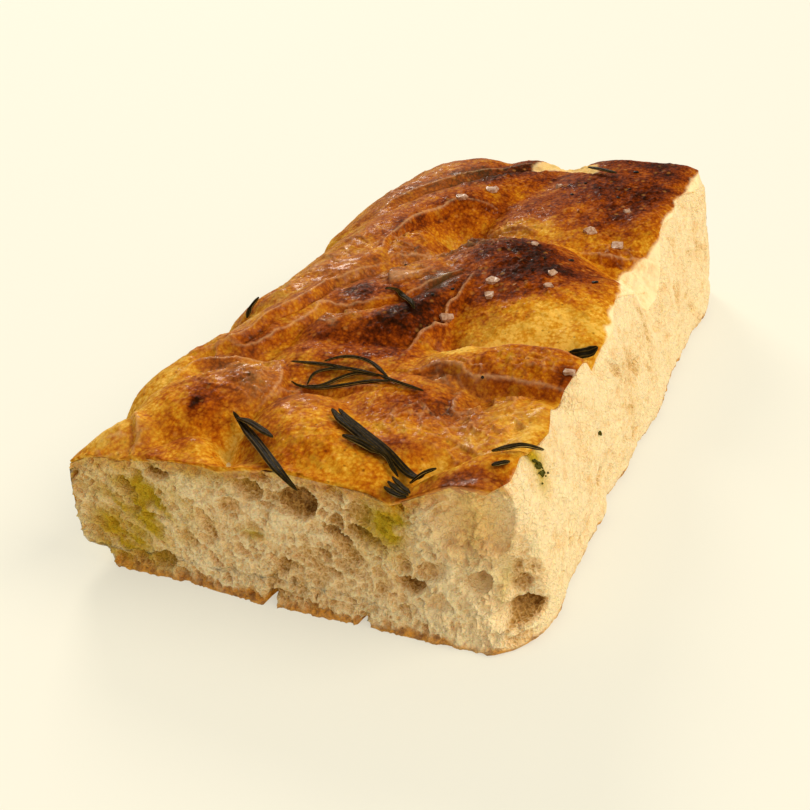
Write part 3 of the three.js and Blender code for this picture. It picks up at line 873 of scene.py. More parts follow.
@dataclass
class CrumbRelief:
    """Depth map of one crumb face: how far each place lies behind the face."""

    face: CrumbFace
    low: Point
    high: Point
    step: float = 0.16

    def build(self, rng: Rng) -> ReliefMap:
        """Sinks every hole into the map.

        Args:
            rng: the source of random numbers.

        Returns:
            The face's depth in millimetres.
        """
        grain = GRAINS[self.face]
        pores = ReliefMap(self.low, self.high, self.step)
        for foam in grain.foams:
            gap, luck = pores.cells(rng, foam.cell, foam.stretch, -25)
            bowl = smooth_step(0.02, 0.36, gap) * (luck < foam.share)
            depth = foam.depth * (0.45 + 0.75 * luck / foam.share) * bowl
            pores.values = np.maximum(pores.values, depth) + 0.35 * depth
        if self.face is CrumbFace.CUT_END:
            gap, luck = pores.cells(rng, 2.1, 1.0, 0)
            low = 1 - smooth_step(2.5, 7, pores.places()[1])
            low *= smooth_step(0.6, 2, pores.places()[1])
            pores.values += 0.8 * low * smooth_step(0.1, 0.5, gap) * (luck < 0.5)
            rough = pores.noise(rng, (2.2, 2.2)) + 0.5 * pores.noise(rng, (1.1, 1.1))
            floor = 0.42 * pores.values
            for hole in CUT_END_HOLES.values():
                self.sink(pores, hole, rough, floor)
        sway = 0.45 * pores.noise(rng, (16, 12)) + 0.3 * pores.noise(rng, (5, 4))
        flutes = grain.flutes * (pores.noise(rng, (7, 60)) + 0.4 * pores.noise(rng, (2.5, 30)))
        torn = np.abs(pores.noise(rng, (1.1, 0.9))) + 0.5 * pores.noise(rng, (0.5, 0.5))
        pores.values = pores.blurred(0.09, pores.values + sway + flutes + grain.torn * torn)
        return pores

    @staticmethod
    def sink(pores: ReliefMap, hole: Hole, rough: Array, floor: Array) -> None:
        """Sinks one hole with a torn edge: the deepest of overlapping holes shows."""
        reach = 1.3 * max(hole.half_u, hole.half_v)
        cells, du, dv = pores.window(hole.u, hole.v, reach)
        away = oval(du, dv, (hole.half_u, hole.half_v), hole.turn)
        away = np.clip(away + 0.28 * rough[cells], 0, 1)
        steep = np.interp(hole.depth, (2.0, 3.2), (1.0, 0.5))
        depth = hole.depth * (1 - away**1.5) ** steep
        rest = smooth_step(0.4, 1, away)
        pores.values[cells] = depth + floor[cells] * (1 - rest) + pores.values[cells] * rest


# ---- browning ----

# Where the crust browned more than elsewhere, mostly where it puffed up highest.
BROWNED: tuple[Patch, ...] = patches(
    (67, 106, 19, 12, 0.38, -12), (60, 119, 17, 9, 0.22, -15), (88, 104, 6, 8, 0.16),
    (49, 72, 7, 11, 0.5, -15), (71, 30, 10, 8, 0.28), (36, 56, 10, 6, 0.24), (74, 164, 12, 10, 0.12),
    (50, 89, 5, 7, 0.36, -10), (41, 63, 8, 5, 0.18), (30, 82, 7, 5, 0.2, 20), (92, 165, 7, 22, 0.3),
    (77, 172, 13, 13, 0.27), (72, 192, 15, 9, 0.26), (91, 192, 9, 10, 0.3), (42, 186, 7, 13, 0.28, -15),
    (35, 168, 6, 10, 0.3, -25), (83, 149, 7, 8, 0.26), (60, 174, 9, 9, 0.2), (22, 24, 6, 9, 0.17),
    (19, 17, 1.3, 2.6, 0.5), (12, 38, 4, 4, 0.26), (55, 154, 13, 9, 0.22), (83, 161, 8, 6, 0.12),
    (76, 100, 8, 5, 0.2), (68, 45, 6, 3, 0.2, 10), (88, 46.5, 12, 1.6, 0.14), (92, 2, 9, 3, 0.24, 10),
    (23, 160, 5, 16, 0.22, -28), (24, 188, 10, 8, 0.14), (16, 52, 3, 8, 0.16, -20), (52, 56, 9, 5, 0.16),
    (30, 92, 6, 9, 0.2, -20), (92, 58, 6, 3, 0.1), (88, 50, 11, 3, 0.06), (38, 141, 9, 6, 0.11),
    (71, 88.5, 12, 9, 0.28), (47, 179, 13, 6, 0.25, 20), (26, 129, 7, 11, 0.2, -20),
    (36, 147, 5, 5, 0.18), (70, 142, 12, 6, 0.18), (31, 78, 5, 5, 0.24), (48, 51, 12, 3.5, 0.24, 12),
    (69, 15.5, 6, 4, 0.32), (96.5, 50, 3.5, 3, 0.3), (54, 27, 13, 4.5, 0.17, 6), (33, 111, 6, 6, 0.14),
    (55, 94, 7, 5, 0.14), (38, 82, 4, 4, 0.14), (63, 65, 4, 3, 0.12), (39, 27, 5, 5, 0.12),
    (72, 84, 9, 3.5, 0.14),
)
# Where it stayed pale and golden, mostly in hollows that oil ran into.
GOLDEN: tuple[Patch, ...] = patches(
    (69, 55, 5, 3, 0.3), (90, 47, 5, 2.4, 0.24), (38, 59, 6, 4, 0.2), (77, 70, 5, 3, 0.22),
    (56, 10, 13, 7, 0.2, -20), (66, 2, 6, 5, 0.16), (88, 74, 10, 8, 0.14), (88, 52, 12, 4, 0.14, 5),
    (93, 139, 7, 9, 0.18), (93, 92, 5, 6, 0.08), (18, 60, 5, 10, 0.1, -16), (24, 90, 5, 10, 0.04, -16),
    (34, 133, 6, 13, 0.22, -14), (83, 80, 13, 9, 0.34, -20), (66, 58, 9, 9, 0.44), (88, 64, 13, 5, 0.42),
    (90, 30, 8, 12, 0.22), (70, 20, 9, 8, 0.26), (95, 150, 5, 26, 0.16), (57, 27, 8, 6, 0.2),
    (46, 51, 10, 4, 0.16), (31, 8, 3.5, 10, 0.34), (84, 10, 6, 5, 0.34, -30), (3, 9, 9, 10, 0.42),
    (-2, 30, 8, 12, 0.4), (5, 66, 8, 28, 0.24), (97, 84, 4, 22, 0.24), (62, 139, 15, 5, 0.3, -12),
    (74, 127, 6, 6, 0.26), (20, 42, 5, 5, 0.2), (97, 22, 5, 22, 0.2), (-5, 7, 7, 10, 0.2),
    (0, 120, 8, 30, 0.1), (26, 112, 4, 8, 0.1), (74, 70, 12, 5, 0.2, -20),
)
# Where the skin lifted and dried to a glossy film, which shows a broad pale sheen: the oil coat shines there,
# and a pale film tone is mixed into the colour, partly as painted sheen.
SHEEN: tuple[Patch, ...] = patches(
    (9, 76, 11, 36, 0.6, -16), (24, 90, 5, 11, 0.5, -16), (6, 125, 12, 34, 0.3, -8),
    (24, 160, 7, 22, 0.45, -32), (12, 178, 16, 22, 0.3, -20), (46, 132, 9, 6, 0.5),
    (40, 110, 12, 7, 0.8, 20), (70, 44, 8, 4, 0.7), (16, 34, 9, 8, 0.7), (42, 27, 7, 12, 0.5),
    (31, 68, 7, 6, 0.8), (38, 94, 7, 7, 0.8), (29, 29, 4, 6, 1.0), (86, 34, 11, 9, 0.6),
    (82, 22, 10, 7, 0.5), (7, 5, 8, 7, 0.7), (92, 0, 10, 3, 0.3), (57, 140, 9, 4, 0.8),
    (66, 64, 8, 6, 0.5), (50, 92, 5, 8, 0.5), (21, 40, 6, 8, 0.8),
)
# Where a flap of crust tore off and left the crumb bare.
TORN: tuple[Patch, ...] = patches(
    (54, 194, 7, 4.5, 1.1), (49, 187, 3, 5, 0.8, -30), (62, 190, 5, 4, 1.0, -20),
    (66, 186, 2.4, 7, 0.9, 28),
)
# The line along the right side where the crust ends: (y, x).
CRUST_LIMIT: tuple[Point, ...] = (
    (-4, 96.5), (0, 97.5), (5, 98.3), (12, 99.2), (20, 99.6), (48, 99.6), (56, 100.4), (71, 99.5),
    (78, 98.5), (86, 97.6), (96, 96.6), (104, 95.4), (113, 92), (126, 90.6), (130, 92.8), (134, 95.6),
    (144, 98), (164, 98), (182, 99.4), (203, 100.4),
)
# Green-gold oil stains on the cut end, in its x and z.
STAINS: tuple[Patch, ...] = patches(
    (5, 10, 12, 13, 1.25, -10), (13, 22, 11, 12, 1.1, -30), (73, 28, 5, 9, 2.2, -10), (38, 31, 6, 3, 0.5),
    (41, 17.5, 3, 1.6, 1.2), (100, 11, 3, 2.5, 1.2), (98, 17, 3, 6, 0.7), (28, 32, 5, 3, 0.6),
)


# ---- materials ----

# The numbers stored on the bread's vertices, which its materials read.
MASKS = ("crust", "bake", "depth", "stain", "base", "rim", "sheen")
EVEN_NOISE = 0.5
ROUGH_NOISE = 0.62

Socket = bpy.types.NodeSocket
Stops = tuple[tuple[float, str], ...]


@dataclass(frozen=True)
class Grain:
    """One noise of a texture: its grain in millimetres, its detail and its weight in a sum."""

    size_mm: float
    detail: float
    weight: float = 1.0


@dataclass(frozen=True)
class Speckle:
    """Scattered round spots: how far apart they lie, their radius in gaps and how strong they are."""

    gap_mm: float
    radius: float
    strength: float
    missing: float = 0.62
    core: float = 0.4


@dataclass(frozen=True)
class Blotch:
    """Soft-edged blotches where a noise runs from one value to another, up to a strength."""

    grain: Grain
    low: float
    high: float
    strength: float = 1.0


@dataclass
class Recipe:
    """A new material and its nodes, with short ways to add what the finishes share."""

    name: str

    def __post_init__(self) -> None:
        """Starts the material with its shader."""
        self.material = bpy.data.materials.new(self.name)
        self.material.use_nodes = True
        self.tree = self.material.node_tree
        self.shader = self.tree.nodes["Principled BSDF"]

    @functools.cached_property
    def place(self) -> Socket:
        """The place on the piece, in metres."""
        return self.add("TexCoord").outputs["Object"]

    def add(self, kind: str, settings: dict | None = None, links: dict | None = None) -> bpy.types.Node:
        """Adds a node with its settings and links.

        Args:
            kind: the node's type name, without its ShaderNode start.
            settings: values of its sockets or properties, by name or socket number.
            links: output sockets to link in, by input name or number.

        Returns:
            The new node.
        """
        node = self.tree.nodes.new("ShaderNode" + kind)
        for name, value in (settings or {}).items():
            if isinstance(name, str) and hasattr(node, name):
                setattr(node, name, value)
            else:
                node.inputs[name].default_value = value
        for name, source in (links or {}).items():
            self.tree.links.new(source, node.inputs[name])
        return node

    def mask(self, name: str) -> Socket:
        """Returns the number stored on the vertices under a name."""
        return self.add("Attribute", {"attribute_name": name}).outputs["Fac"]

    def noise(self, grain: Grain, roughness: float = ROUGH_NOISE) -> Socket:
        """Returns a noise of a grain."""
        settings = {"Scale": 1 / (grain.size_mm * MM), "Detail": grain.detail, "Roughness": roughness}
        return self.add("TexNoise", settings, {"Vector": self.place}).outputs["Fac"]

    def cells(self, gap_mm: float, feature: str = "F1", place: Socket | None = None) -> bpy.types.Node:
        """Returns a node of scattered cells with a gap in millimetres between them."""
        settings = {"Scale": 1 / (gap_mm * MM), "feature": feature}
        return self.add("TexVoronoi", settings, {"Vector": place or self.place})

    def mapped(self, value: Socket, low: float, high: float, start: float = 0.0, end: float = 1.0) -> Socket:
        """Returns a value's run from low to high as a run from start to end, held to it."""
        limits = {"From Min": low, "From Max": high, "To Min": start, "To Max": end}
        return self.add("MapRange", limits, {"Value": value}).outputs[0]

    def blotches(self, blotch: Blotch) -> Socket:
        """Returns where a finish's blotches lie."""
        return self.mapped(self.noise(blotch.grain), blotch.low, blotch.high, end=blotch.strength)

    def times(self, first: Socket, second: Socket) -> Socket:
        """Returns the product of two outputs."""
        return self.add("Math", {"operation": "MULTIPLY"}, {0: first, 1: second}).outputs[0]

    def weigh(self, *terms: tuple[Socket, float], start: float = 0.0) -> Socket:
        """Adds up outputs, each times its weight, and returns the sum's socket, held to 0 to 1."""
        total = None
        for index, (socket, weight) in enumerate(terms):
            is_last = index == len(terms) - 1
            settings = {"operation": "MULTIPLY_ADD", 1: weight, 2: start, "use_clamp": is_last}
            links = {0: socket} if total is None else {0: socket, 2: total}
            total = self.add("Math", settings, links).outputs[0]
        return total

    def mix(self, share: Socket, first: Socket | str, second: Socket | str) -> Socket:
        """Mixes two colours, each an output socket or a hex code, and returns the result's socket."""
        node = self.add("Mix", {"data_type": "RGBA"}, {0: share})
        for number, colour in ((6, first), (7, second)):
            if isinstance(colour, str):
                node.inputs[number].default_value = linear_colour(colour)
            else:
                self.tree.links.new(colour, node.inputs[number])
        return node.outputs[2]

    def ramp(self, value: Socket, stops: Stops) -> Socket:
        """Returns a value turned into a colour by a ramp of (place, hex colour) stops."""
        node = self.add("ValToRGB", links={"Fac": value})
        elements = node.color_ramp.elements
        while len(elements) < len(stops):
            elements.new(1.0)
        for element, (place, code) in zip(elements, stops):
            element.position = place
            element.color = linear_colour(code)
        return node.outputs["Color"]

    def bump(self, height: Socket, strength: float, depth_mm: float) -> Socket:
        """Returns a normal that fine relief of a depth in millimetres bends."""
        settings = {"Strength": strength, "Distance": depth_mm * MM}
        return self.add("Bump", settings, {"Height": height}).outputs["Normal"]

    def shade(self, look: dict[str, object]) -> Material:
        """Sets the shader's sockets, each to a constant or an output, and returns the material."""
        for name, value in look.items():
            if isinstance(value, bpy.types.NodeSocket):
                self.tree.links.new(value, self.shader.inputs[name])
            else:
                self.shader.inputs[name].default_value = value
        return self.material


@dataclass(frozen=True)
class BreadFinish:
    """Baked wheat dough: a crust brushed with olive oil, and the open crumb inside.

    The oiled crust gives a glossy skin over mottled browns, and the crumb is matt with
    light shining a little way through its thin cell walls.
    """

    name: str
    is_crust: bool
    bakes: Stops = (
        (0.0, "#ecbb50"), (0.15, "#d79a26"), (0.3, "#c1760e"), (0.45, "#a45307"),
        (0.6, "#853a04"), (0.76, "#5a2103"), (0.9, "#3b1502"), (1.0, "#260e02"),
    )
    crumbs: Stops = ((0.0, "#ffe7b6"), (0.3, "#f1cf96"), (0.65, "#bf924f"), (1.0, "#764d1d"))
    stain: str = "#c6a628"
    bran: str = "#c98a3e"
    toast: str = "#eebd7a"
    base_crust: str = "#dd9628"
    base_dark: str = "#935610"
    # The fold rims' pale colour: partly thin dry skin, partly painted highlight.
    dry_skin_and_highlight: str = "#ecc190"
    # The film's pale pinkish tone: partly its own colour, partly painted sheen.
    film_and_sheen: str = "#c29855"
    oil: str = "#b28a24"
    blister: str = "#e0a24c"
    freckle: str = "#3a1507"
    # The noises that break up the browning, and where their sum with it starts.
    mottles: tuple[Grain, ...] = (Grain(0.5, 2.0, 0.38), Grain(1.6, 3.0, 0.36), Grain(6.0, 2.0, 0.72))
    mottle_start: float = -0.85
    pebble_mm: float = 1.05
    pebble_weight: float = 0.3
    freckles: Speckle = Speckle(1.7, 0.24, 0.55)
    blisters: Speckle = Speckle(2.3, 0.36, 0.26)
    painted_sheen_share: float = 0.28
    rim_highlight_share: float = 0.5
    # Where oil soaked in, and the browning between which it shows.
    pools: Blotch = Blotch(Grain(4.5, 3.0), 0.48, 0.66, 0.42)
    soaks_until: float = 0.62
    soaks_fully: float = 0.34
    # The noises of the crumb, and where their sum with its holes' depth starts; the depth darkens the holes
    # as painted shade.
    grains: tuple[Grain, ...] = (Grain(0.6, 4.0, 0.85), Grain(12.0, 2.0, 0.8))
    grain_start: float = -0.78
    # Lighter strands: partly the thin walls' own pale tone, partly painted highlight.
    strand_highlight_weight: float = -0.26
    hole_shade_weight: float = 1.15
    flecks: Blotch = Blotch(Grain(0.9, 1.0), 0.67, 0.76, 0.3)
    blush: Blotch = Blotch(Grain(3.6, 3.0), 0.5, 0.7, 0.42)
    scorch: Blotch = Blotch(Grain(1.6, 3.0), 0.4, 0.62)
    # The strands of torn cell walls: their mesh, their width in cells and how far they bend.
    strand_mm: float = 1.15
    strand_width: float = 0.26
    strand_bend: Grain = Grain(2.0, 3.0, 1.6)
    # The oil's film and beads, and how glossy and how matt the surface is.
    film_patches: Blotch = Blotch(Grain(2.2, 3.0), 0.46, 0.6)
    beads: Blotch = Blotch(Grain(0.7, 2.0), 0.57, 0.66)
    wet: Blotch = Blotch(Grain(7.0, 2.0), 0.42, 0.6)
    film_coat: float = 0.55
    bead_coat: float = 0.27
    coat_roughness: float = 0.2
    oiled: Grain = Grain(3.0, 3.0, 0.4)
    oiled_roughness: float = 0.36
    dry_roughness: float = 0.88
    specular: float = 0.015
    scatter_colour: tuple[float, float, float] = (1.0, 0.55, 0.25)

    def build(self) -> Material:
        """Returns the material."""
        recipe = Recipe(self.name)
        masks = {name: recipe.mask(name) for name in MASKS}
        oiled = recipe.weigh((recipe.noise(self.oiled), self.oiled.weight), start=self.oiled_roughness)
        ends = {"Value": masks["crust"], "To Max": oiled}
        rough = recipe.add("MapRange", {"To Min": self.dry_roughness}, ends)
        look = {
            "Base Color": recipe.mix(masks["crust"], self.crumb(recipe, masks), self.baked(recipe, masks)),
            "Roughness": rough.outputs[0],
            "Normal": self.relief(recipe),
            "Subsurface Weight": 0.1 if self.is_crust else 0.22,
            "Subsurface Radius": self.scatter_colour,
            "Subsurface Scale": 0.0015 if self.is_crust else 0.0025,
            "Specular IOR Level": self.specular,
        }
        if self.is_crust:
            look |= {"Coat Weight": self.glaze(recipe, masks), "Coat Roughness": self.coat_roughness}
        return recipe.shade(look)

    def glaze(self, recipe: Recipe, masks: dict[str, Socket]) -> Socket:
        """Returns how thick the oil stands: films in patches, and beads of it on the pebbles."""
        film_and_sheen = recipe.times(recipe.times(masks["sheen"], masks["crust"]), recipe.blotches(self.film_patches))
        bead = recipe.times(recipe.blotches(self.beads), recipe.blotches(self.wet))
        return recipe.weigh((film_and_sheen, self.film_coat), (bead, self.bead_coat))

    def baked(self, recipe: Recipe, masks: dict[str, Socket]) -> Socket:
        """Returns the crust's colour: browning broken up by mottles, freckles, pale rims that are partly dry
        skin and partly painted highlight, and a film tone that is partly painted sheen.
        """
        mottles = [(recipe.noise(grain), grain.weight) for grain in self.mottles]
        pebbles = recipe.cells(self.pebble_mm).outputs["Distance"]
        causes = (pebbles, self.pebble_weight), (masks["bake"], 1.0)
        total = recipe.weigh(*mottles, *causes, start=self.mottle_start)
        colour = recipe.ramp(total, self.bakes)
        layers = (
            (self.spots(recipe, self.freckles), self.freckle),
            (self.spots(recipe, self.blisters), self.blister),
            (self.soaked(recipe, total), self.oil),
            # Film tone: partly the film's own colour, partly painted sheen.
            (recipe.weigh((masks["sheen"], self.painted_sheen_share)), self.film_and_sheen),
            # Pale rims: partly dry skin, partly painted highlight.
            (recipe.weigh((masks["rim"], self.rim_highlight_share)), self.dry_skin_and_highlight),
        )
        for share, second in layers:
            colour = recipe.mix(share, colour, second)
        return colour

    def soaked(self, recipe: Recipe, total: Socket) -> Socket:
        """Returns where oil soaked into crust that browned little, which turns it olive gold."""
        thin = recipe.mapped(total, self.soaks_until, self.soaks_fully)
        return recipe.times(recipe.blotches(self.pools), thin)

    @staticmethod
    def spots(recipe: Recipe, speckle: Speckle) -> Socket:
        """Returns where scattered round spots lie, some of which are missing."""
        dots = recipe.cells(speckle.gap_mm)
        core, edge = speckle.core * speckle.radius, speckle.radius
        spot = recipe.mapped(dots.outputs["Distance"], core, edge, speckle.strength, 0.0)
        settings = {"operation": "GREATER_THAN", 1: speckle.missing}
        return recipe.times(spot, recipe.add("Math", settings, {0: dots.outputs["Color"]}).outputs[0])

    def crumb(self, recipe: Recipe, masks: dict[str, Socket]) -> Socket:
        """Returns the crumb's colour: painted shade darker down its holes, lighter strands that are partly
        painted highlight, stained and browned at the base.
        """
        grains = [(recipe.noise(grain), grain.weight) for grain in self.grains]
        strands, depth = (self.web(recipe), self.strand_highlight_weight), (masks["depth"], self.hole_shade_weight)
        total = recipe.weigh(*grains, strands, depth, start=self.grain_start)
        colour = recipe.mix(recipe.blotches(self.blush), recipe.ramp(total, self.crumbs), self.toast)
        colour = recipe.mix(recipe.blotches(self.flecks), colour, self.bran)
        colour = recipe.mix(masks["stain"], colour, self.stain)
        browned = recipe.mix(recipe.blotches(self.scorch), self.base_crust, self.base_dark)
        return recipe.mix(masks["base"], colour, browned)

    def web(self, recipe: Recipe) -> Socket:
        """Returns a net of thin strands, as torn cell walls leave."""
        bend = self.strand_bend
        settings = {"Scale": 1 / (bend.size_mm * MM), "Detail": bend.detail, "Roughness": EVEN_NOISE}
        drift = recipe.add("TexNoise", settings, {"Vector": recipe.place}).outputs["Color"]
        shift = recipe.add("VectorMath", {"operation": "SCALE", "Scale": bend.weight * MM}, {0: drift})
        bent = recipe.add("VectorMath", {"operation": "ADD"}, {0: recipe.place, 1: shift.outputs[0]})
        net = recipe.cells(self.strand_mm, "DISTANCE_TO_EDGE", bent.outputs[0]).outputs["Distance"]
        return recipe.mapped(net, 0.0, self.strand_width, 1.0, 0.0)

    def relief(self, recipe: Recipe) -> Socket:
        """Returns the fine relief: pebbly skin on the crust, torn cell walls on the crumb."""
        if self.is_crust:
            fine, strength, depth_mm = recipe.noise(Grain(0.7, 5.0)), 0.8, 0.2
            second = recipe.cells(0.9, "SMOOTH_F1").outputs["Distance"]
        else:
            fine, strength, depth_mm = recipe.noise(Grain(0.5, 5.0)), 0.9, 0.34
            second = self.web(recipe)
        both = recipe.add("Math", {"operation": "ADD"}, {0: fine, 1: second}).outputs[0]
        return recipe.bump(both, strength, depth_mm)


@dataclass(frozen=True)
class LeafFinish:
    """Roasted rosemary: leathery leaves, dark olive going brown, lighter on the ridges, partly as painted
    highlight.
    """

    name: str = "roasted_rosemary_leaf"
    colours: Stops = (
        (0.0, "#0a0803"), (0.36, "#1c1606"), (0.6, "#4a390f"), (0.82, "#8a7034"), (1.0, "#b89c5c"),
    )
    patches: Grain = Grain(1.2, 4.0, 0.5)
    wrinkles: Grain = Grain(0.4, 3.0, 0.9)
    wrinkle_depth_mm: float = 0.16
    roughness: float = 0.42
    specular: float = 0.03

    def build(self) -> Material:
        """Returns the material."""
        recipe = Recipe(self.name)
        patchy = recipe.noise(self.patches, EVEN_NOISE)
        settings = {"operation": "MULTIPLY_ADD", 1: self.patches.weight}
        total = recipe.add("Math", settings, {0: patchy, 2: recipe.mask("ridge_tone_and_highlight")}).outputs[0]
        wrinkles = recipe.noise(self.wrinkles, EVEN_NOISE)
        return recipe.shade({
            "Base Color": recipe.ramp(total, self.colours),
            "Normal": recipe.bump(wrinkles, self.wrinkles.weight, self.wrinkle_depth_mm),
            "Roughness": self.roughness,
            "Specular IOR Level": self.specular,
        })


@dataclass(frozen=True)
class SaltFinish:
    """Coarse sea salt: milky crystals that let warm light through."""

    name: str = "sea_salt_crystal"
    colours: Stops = ((0.35, "#c08658"), (0.66, "#f0cfb0"))
    clouds: Grain = Grain(0.8, 3.0)
    roughness: float = 0.45
    clearness: float = 0.4
    index: float = 1.54

    def build(self) -> Material:
        """Returns the material."""
        recipe = Recipe(self.name)
        return recipe.shade({
            "Base Color": recipe.ramp(recipe.noise(self.clouds, EVEN_NOISE), self.colours),
            "Roughness": self.roughness,
            "Transmission Weight": self.clearness,
            "IOR": self.index,
        })


@dataclass(frozen=True)
class PlainFinish:
    """A plain dyed surface, such as acrylic lit from below or scorched crumbs."""

    name: str
    colour: str
    roughness: float
    glow: float = 0.0
    specular: float = 0.1

    def build(self) -> Material:
        """Returns the material."""
        colour = linear_colour(self.colour)
        return Recipe(self.name).shade({
            "Base Color": [(1 - self.glow) * share for share in colour[:3]] + [1.0],
            "Roughness": self.roughness,
            "Specular IOR Level": self.specular,
            "Emission Color": colour,
            "Emission Strength": self.glow,
        })


# ---- the bread ----

# How near to 0 or 1 a vertex's share is when it lies on a wall of the box.
AT_WALL = 1e-6
# The slab's middle and half sizes, seen from above, in millimetres.
MIDDLE: Point = (48.0, 99.0)
HALF_SLAB: Point = (56.0, 99.0)


def gridded_box(across: int, along: int, up: int) -> Object:
    """Models a box, one unit each way, whose top and walls are fine grids over a plain base.

    Args:
        across: how many cells it has in x.
        along: how many cells it has in y.
        up: how many cells its walls have in z.

    Returns:
        The box.
    """
    deselect_all()
    bpy.ops.mesh.primitive_grid_add(
        x_subdivisions=across, y_subdivisions=along, size=1, location=(0.5, 0.5, 1)
    )
    box = bpy.context.object
    bpy.ops.object.transform_apply(location=True, rotation=True, scale=True)
    with edit_mode():
        bpy.ops.mesh.select_all(action="SELECT")
        bpy.ops.mesh.extrude_region_move(TRANSFORM_OT_translate={"value": (0, 0, -1)})
    dissolve_level(box, 0.0)
    select_upright_edges(box)
    with edit_mode():
        bpy.ops.mesh.subdivide(number_cuts=up - 1)
        bpy.ops.mesh.select_all(action="SELECT")
        bpy.ops.mesh.normals_make_consistent(inside=False)
    return box


def select_only(piece: Object, kind: str, chosen: Array) -> None:
    """Selects some parts of a piece, and nothing else.

    Args:
        piece: the mesh object.
        kind: the parts' kind, as its mesh names it.
        chosen: which of them to select.
    """
    kinds = ("vertices", "edges", "polygons")
    for name in kinds:
        parts = getattr(piece.data, name)
        parts.foreach_set("select", chosen if name == kind else np.zeros(len(parts), bool))
    bpy.context.tool_settings.mesh_select_mode = tuple(name == kind for name in kinds)


def select_upright_edges(piece: Object) -> None:
    """Selects the long upright edges of a piece, and nothing else."""
    ends = np.empty(len(piece.data.edges) * 2, np.int32)
    piece.data.edges.foreach_get("vertices", ends)
    low, high = coordinates(piece)[ends.reshape(-1, 2).T, 2]
    select_only(piece, "edges", np.abs(low - high) > 0.5)


def dissolve_level(piece: Object, level: float, tolerance: float = 1e-5) -> None:
    """Joins the faces that lie at one height, give or take a tolerance, into one face."""
    centres = np.empty(len(piece.data.polygons) * 3, np.float32)
    piece.data.polygons.foreach_get("center", centres)
    select_only(piece, "polygons", np.abs(centres[2::3] - level) < tolerance)
    with edit_mode():
        bpy.ops.mesh.dissolve_faces()


def draw_in(points: Array, inset: Array) -> None:
    """Moves points towards the slab's middle by an inset, keeping their order around it."""
    for axis, (middle, half) in enumerate(zip(MIDDLE, HALF_SLAB)):
        points[:, axis] = middle + (points[:, axis] - middle) * (1 - inset / half)


class Walls:
    """Which vertices of a box lie on its walls: the cut end is its front."""

    def __init__(self, across: Array, along: Array) -> None:
        """Finds the walls from the vertices' shares across and along."""
        self.cut = along < AT_WALL
        self.back = along > 1 - AT_WALL
        self.left = across < AT_WALL
        self.right = across > 1 - AT_WALL

    def all(self) -> Array:
        """Returns which vertices lie on any wall."""
        return self.left | self.right | self.cut | self.back


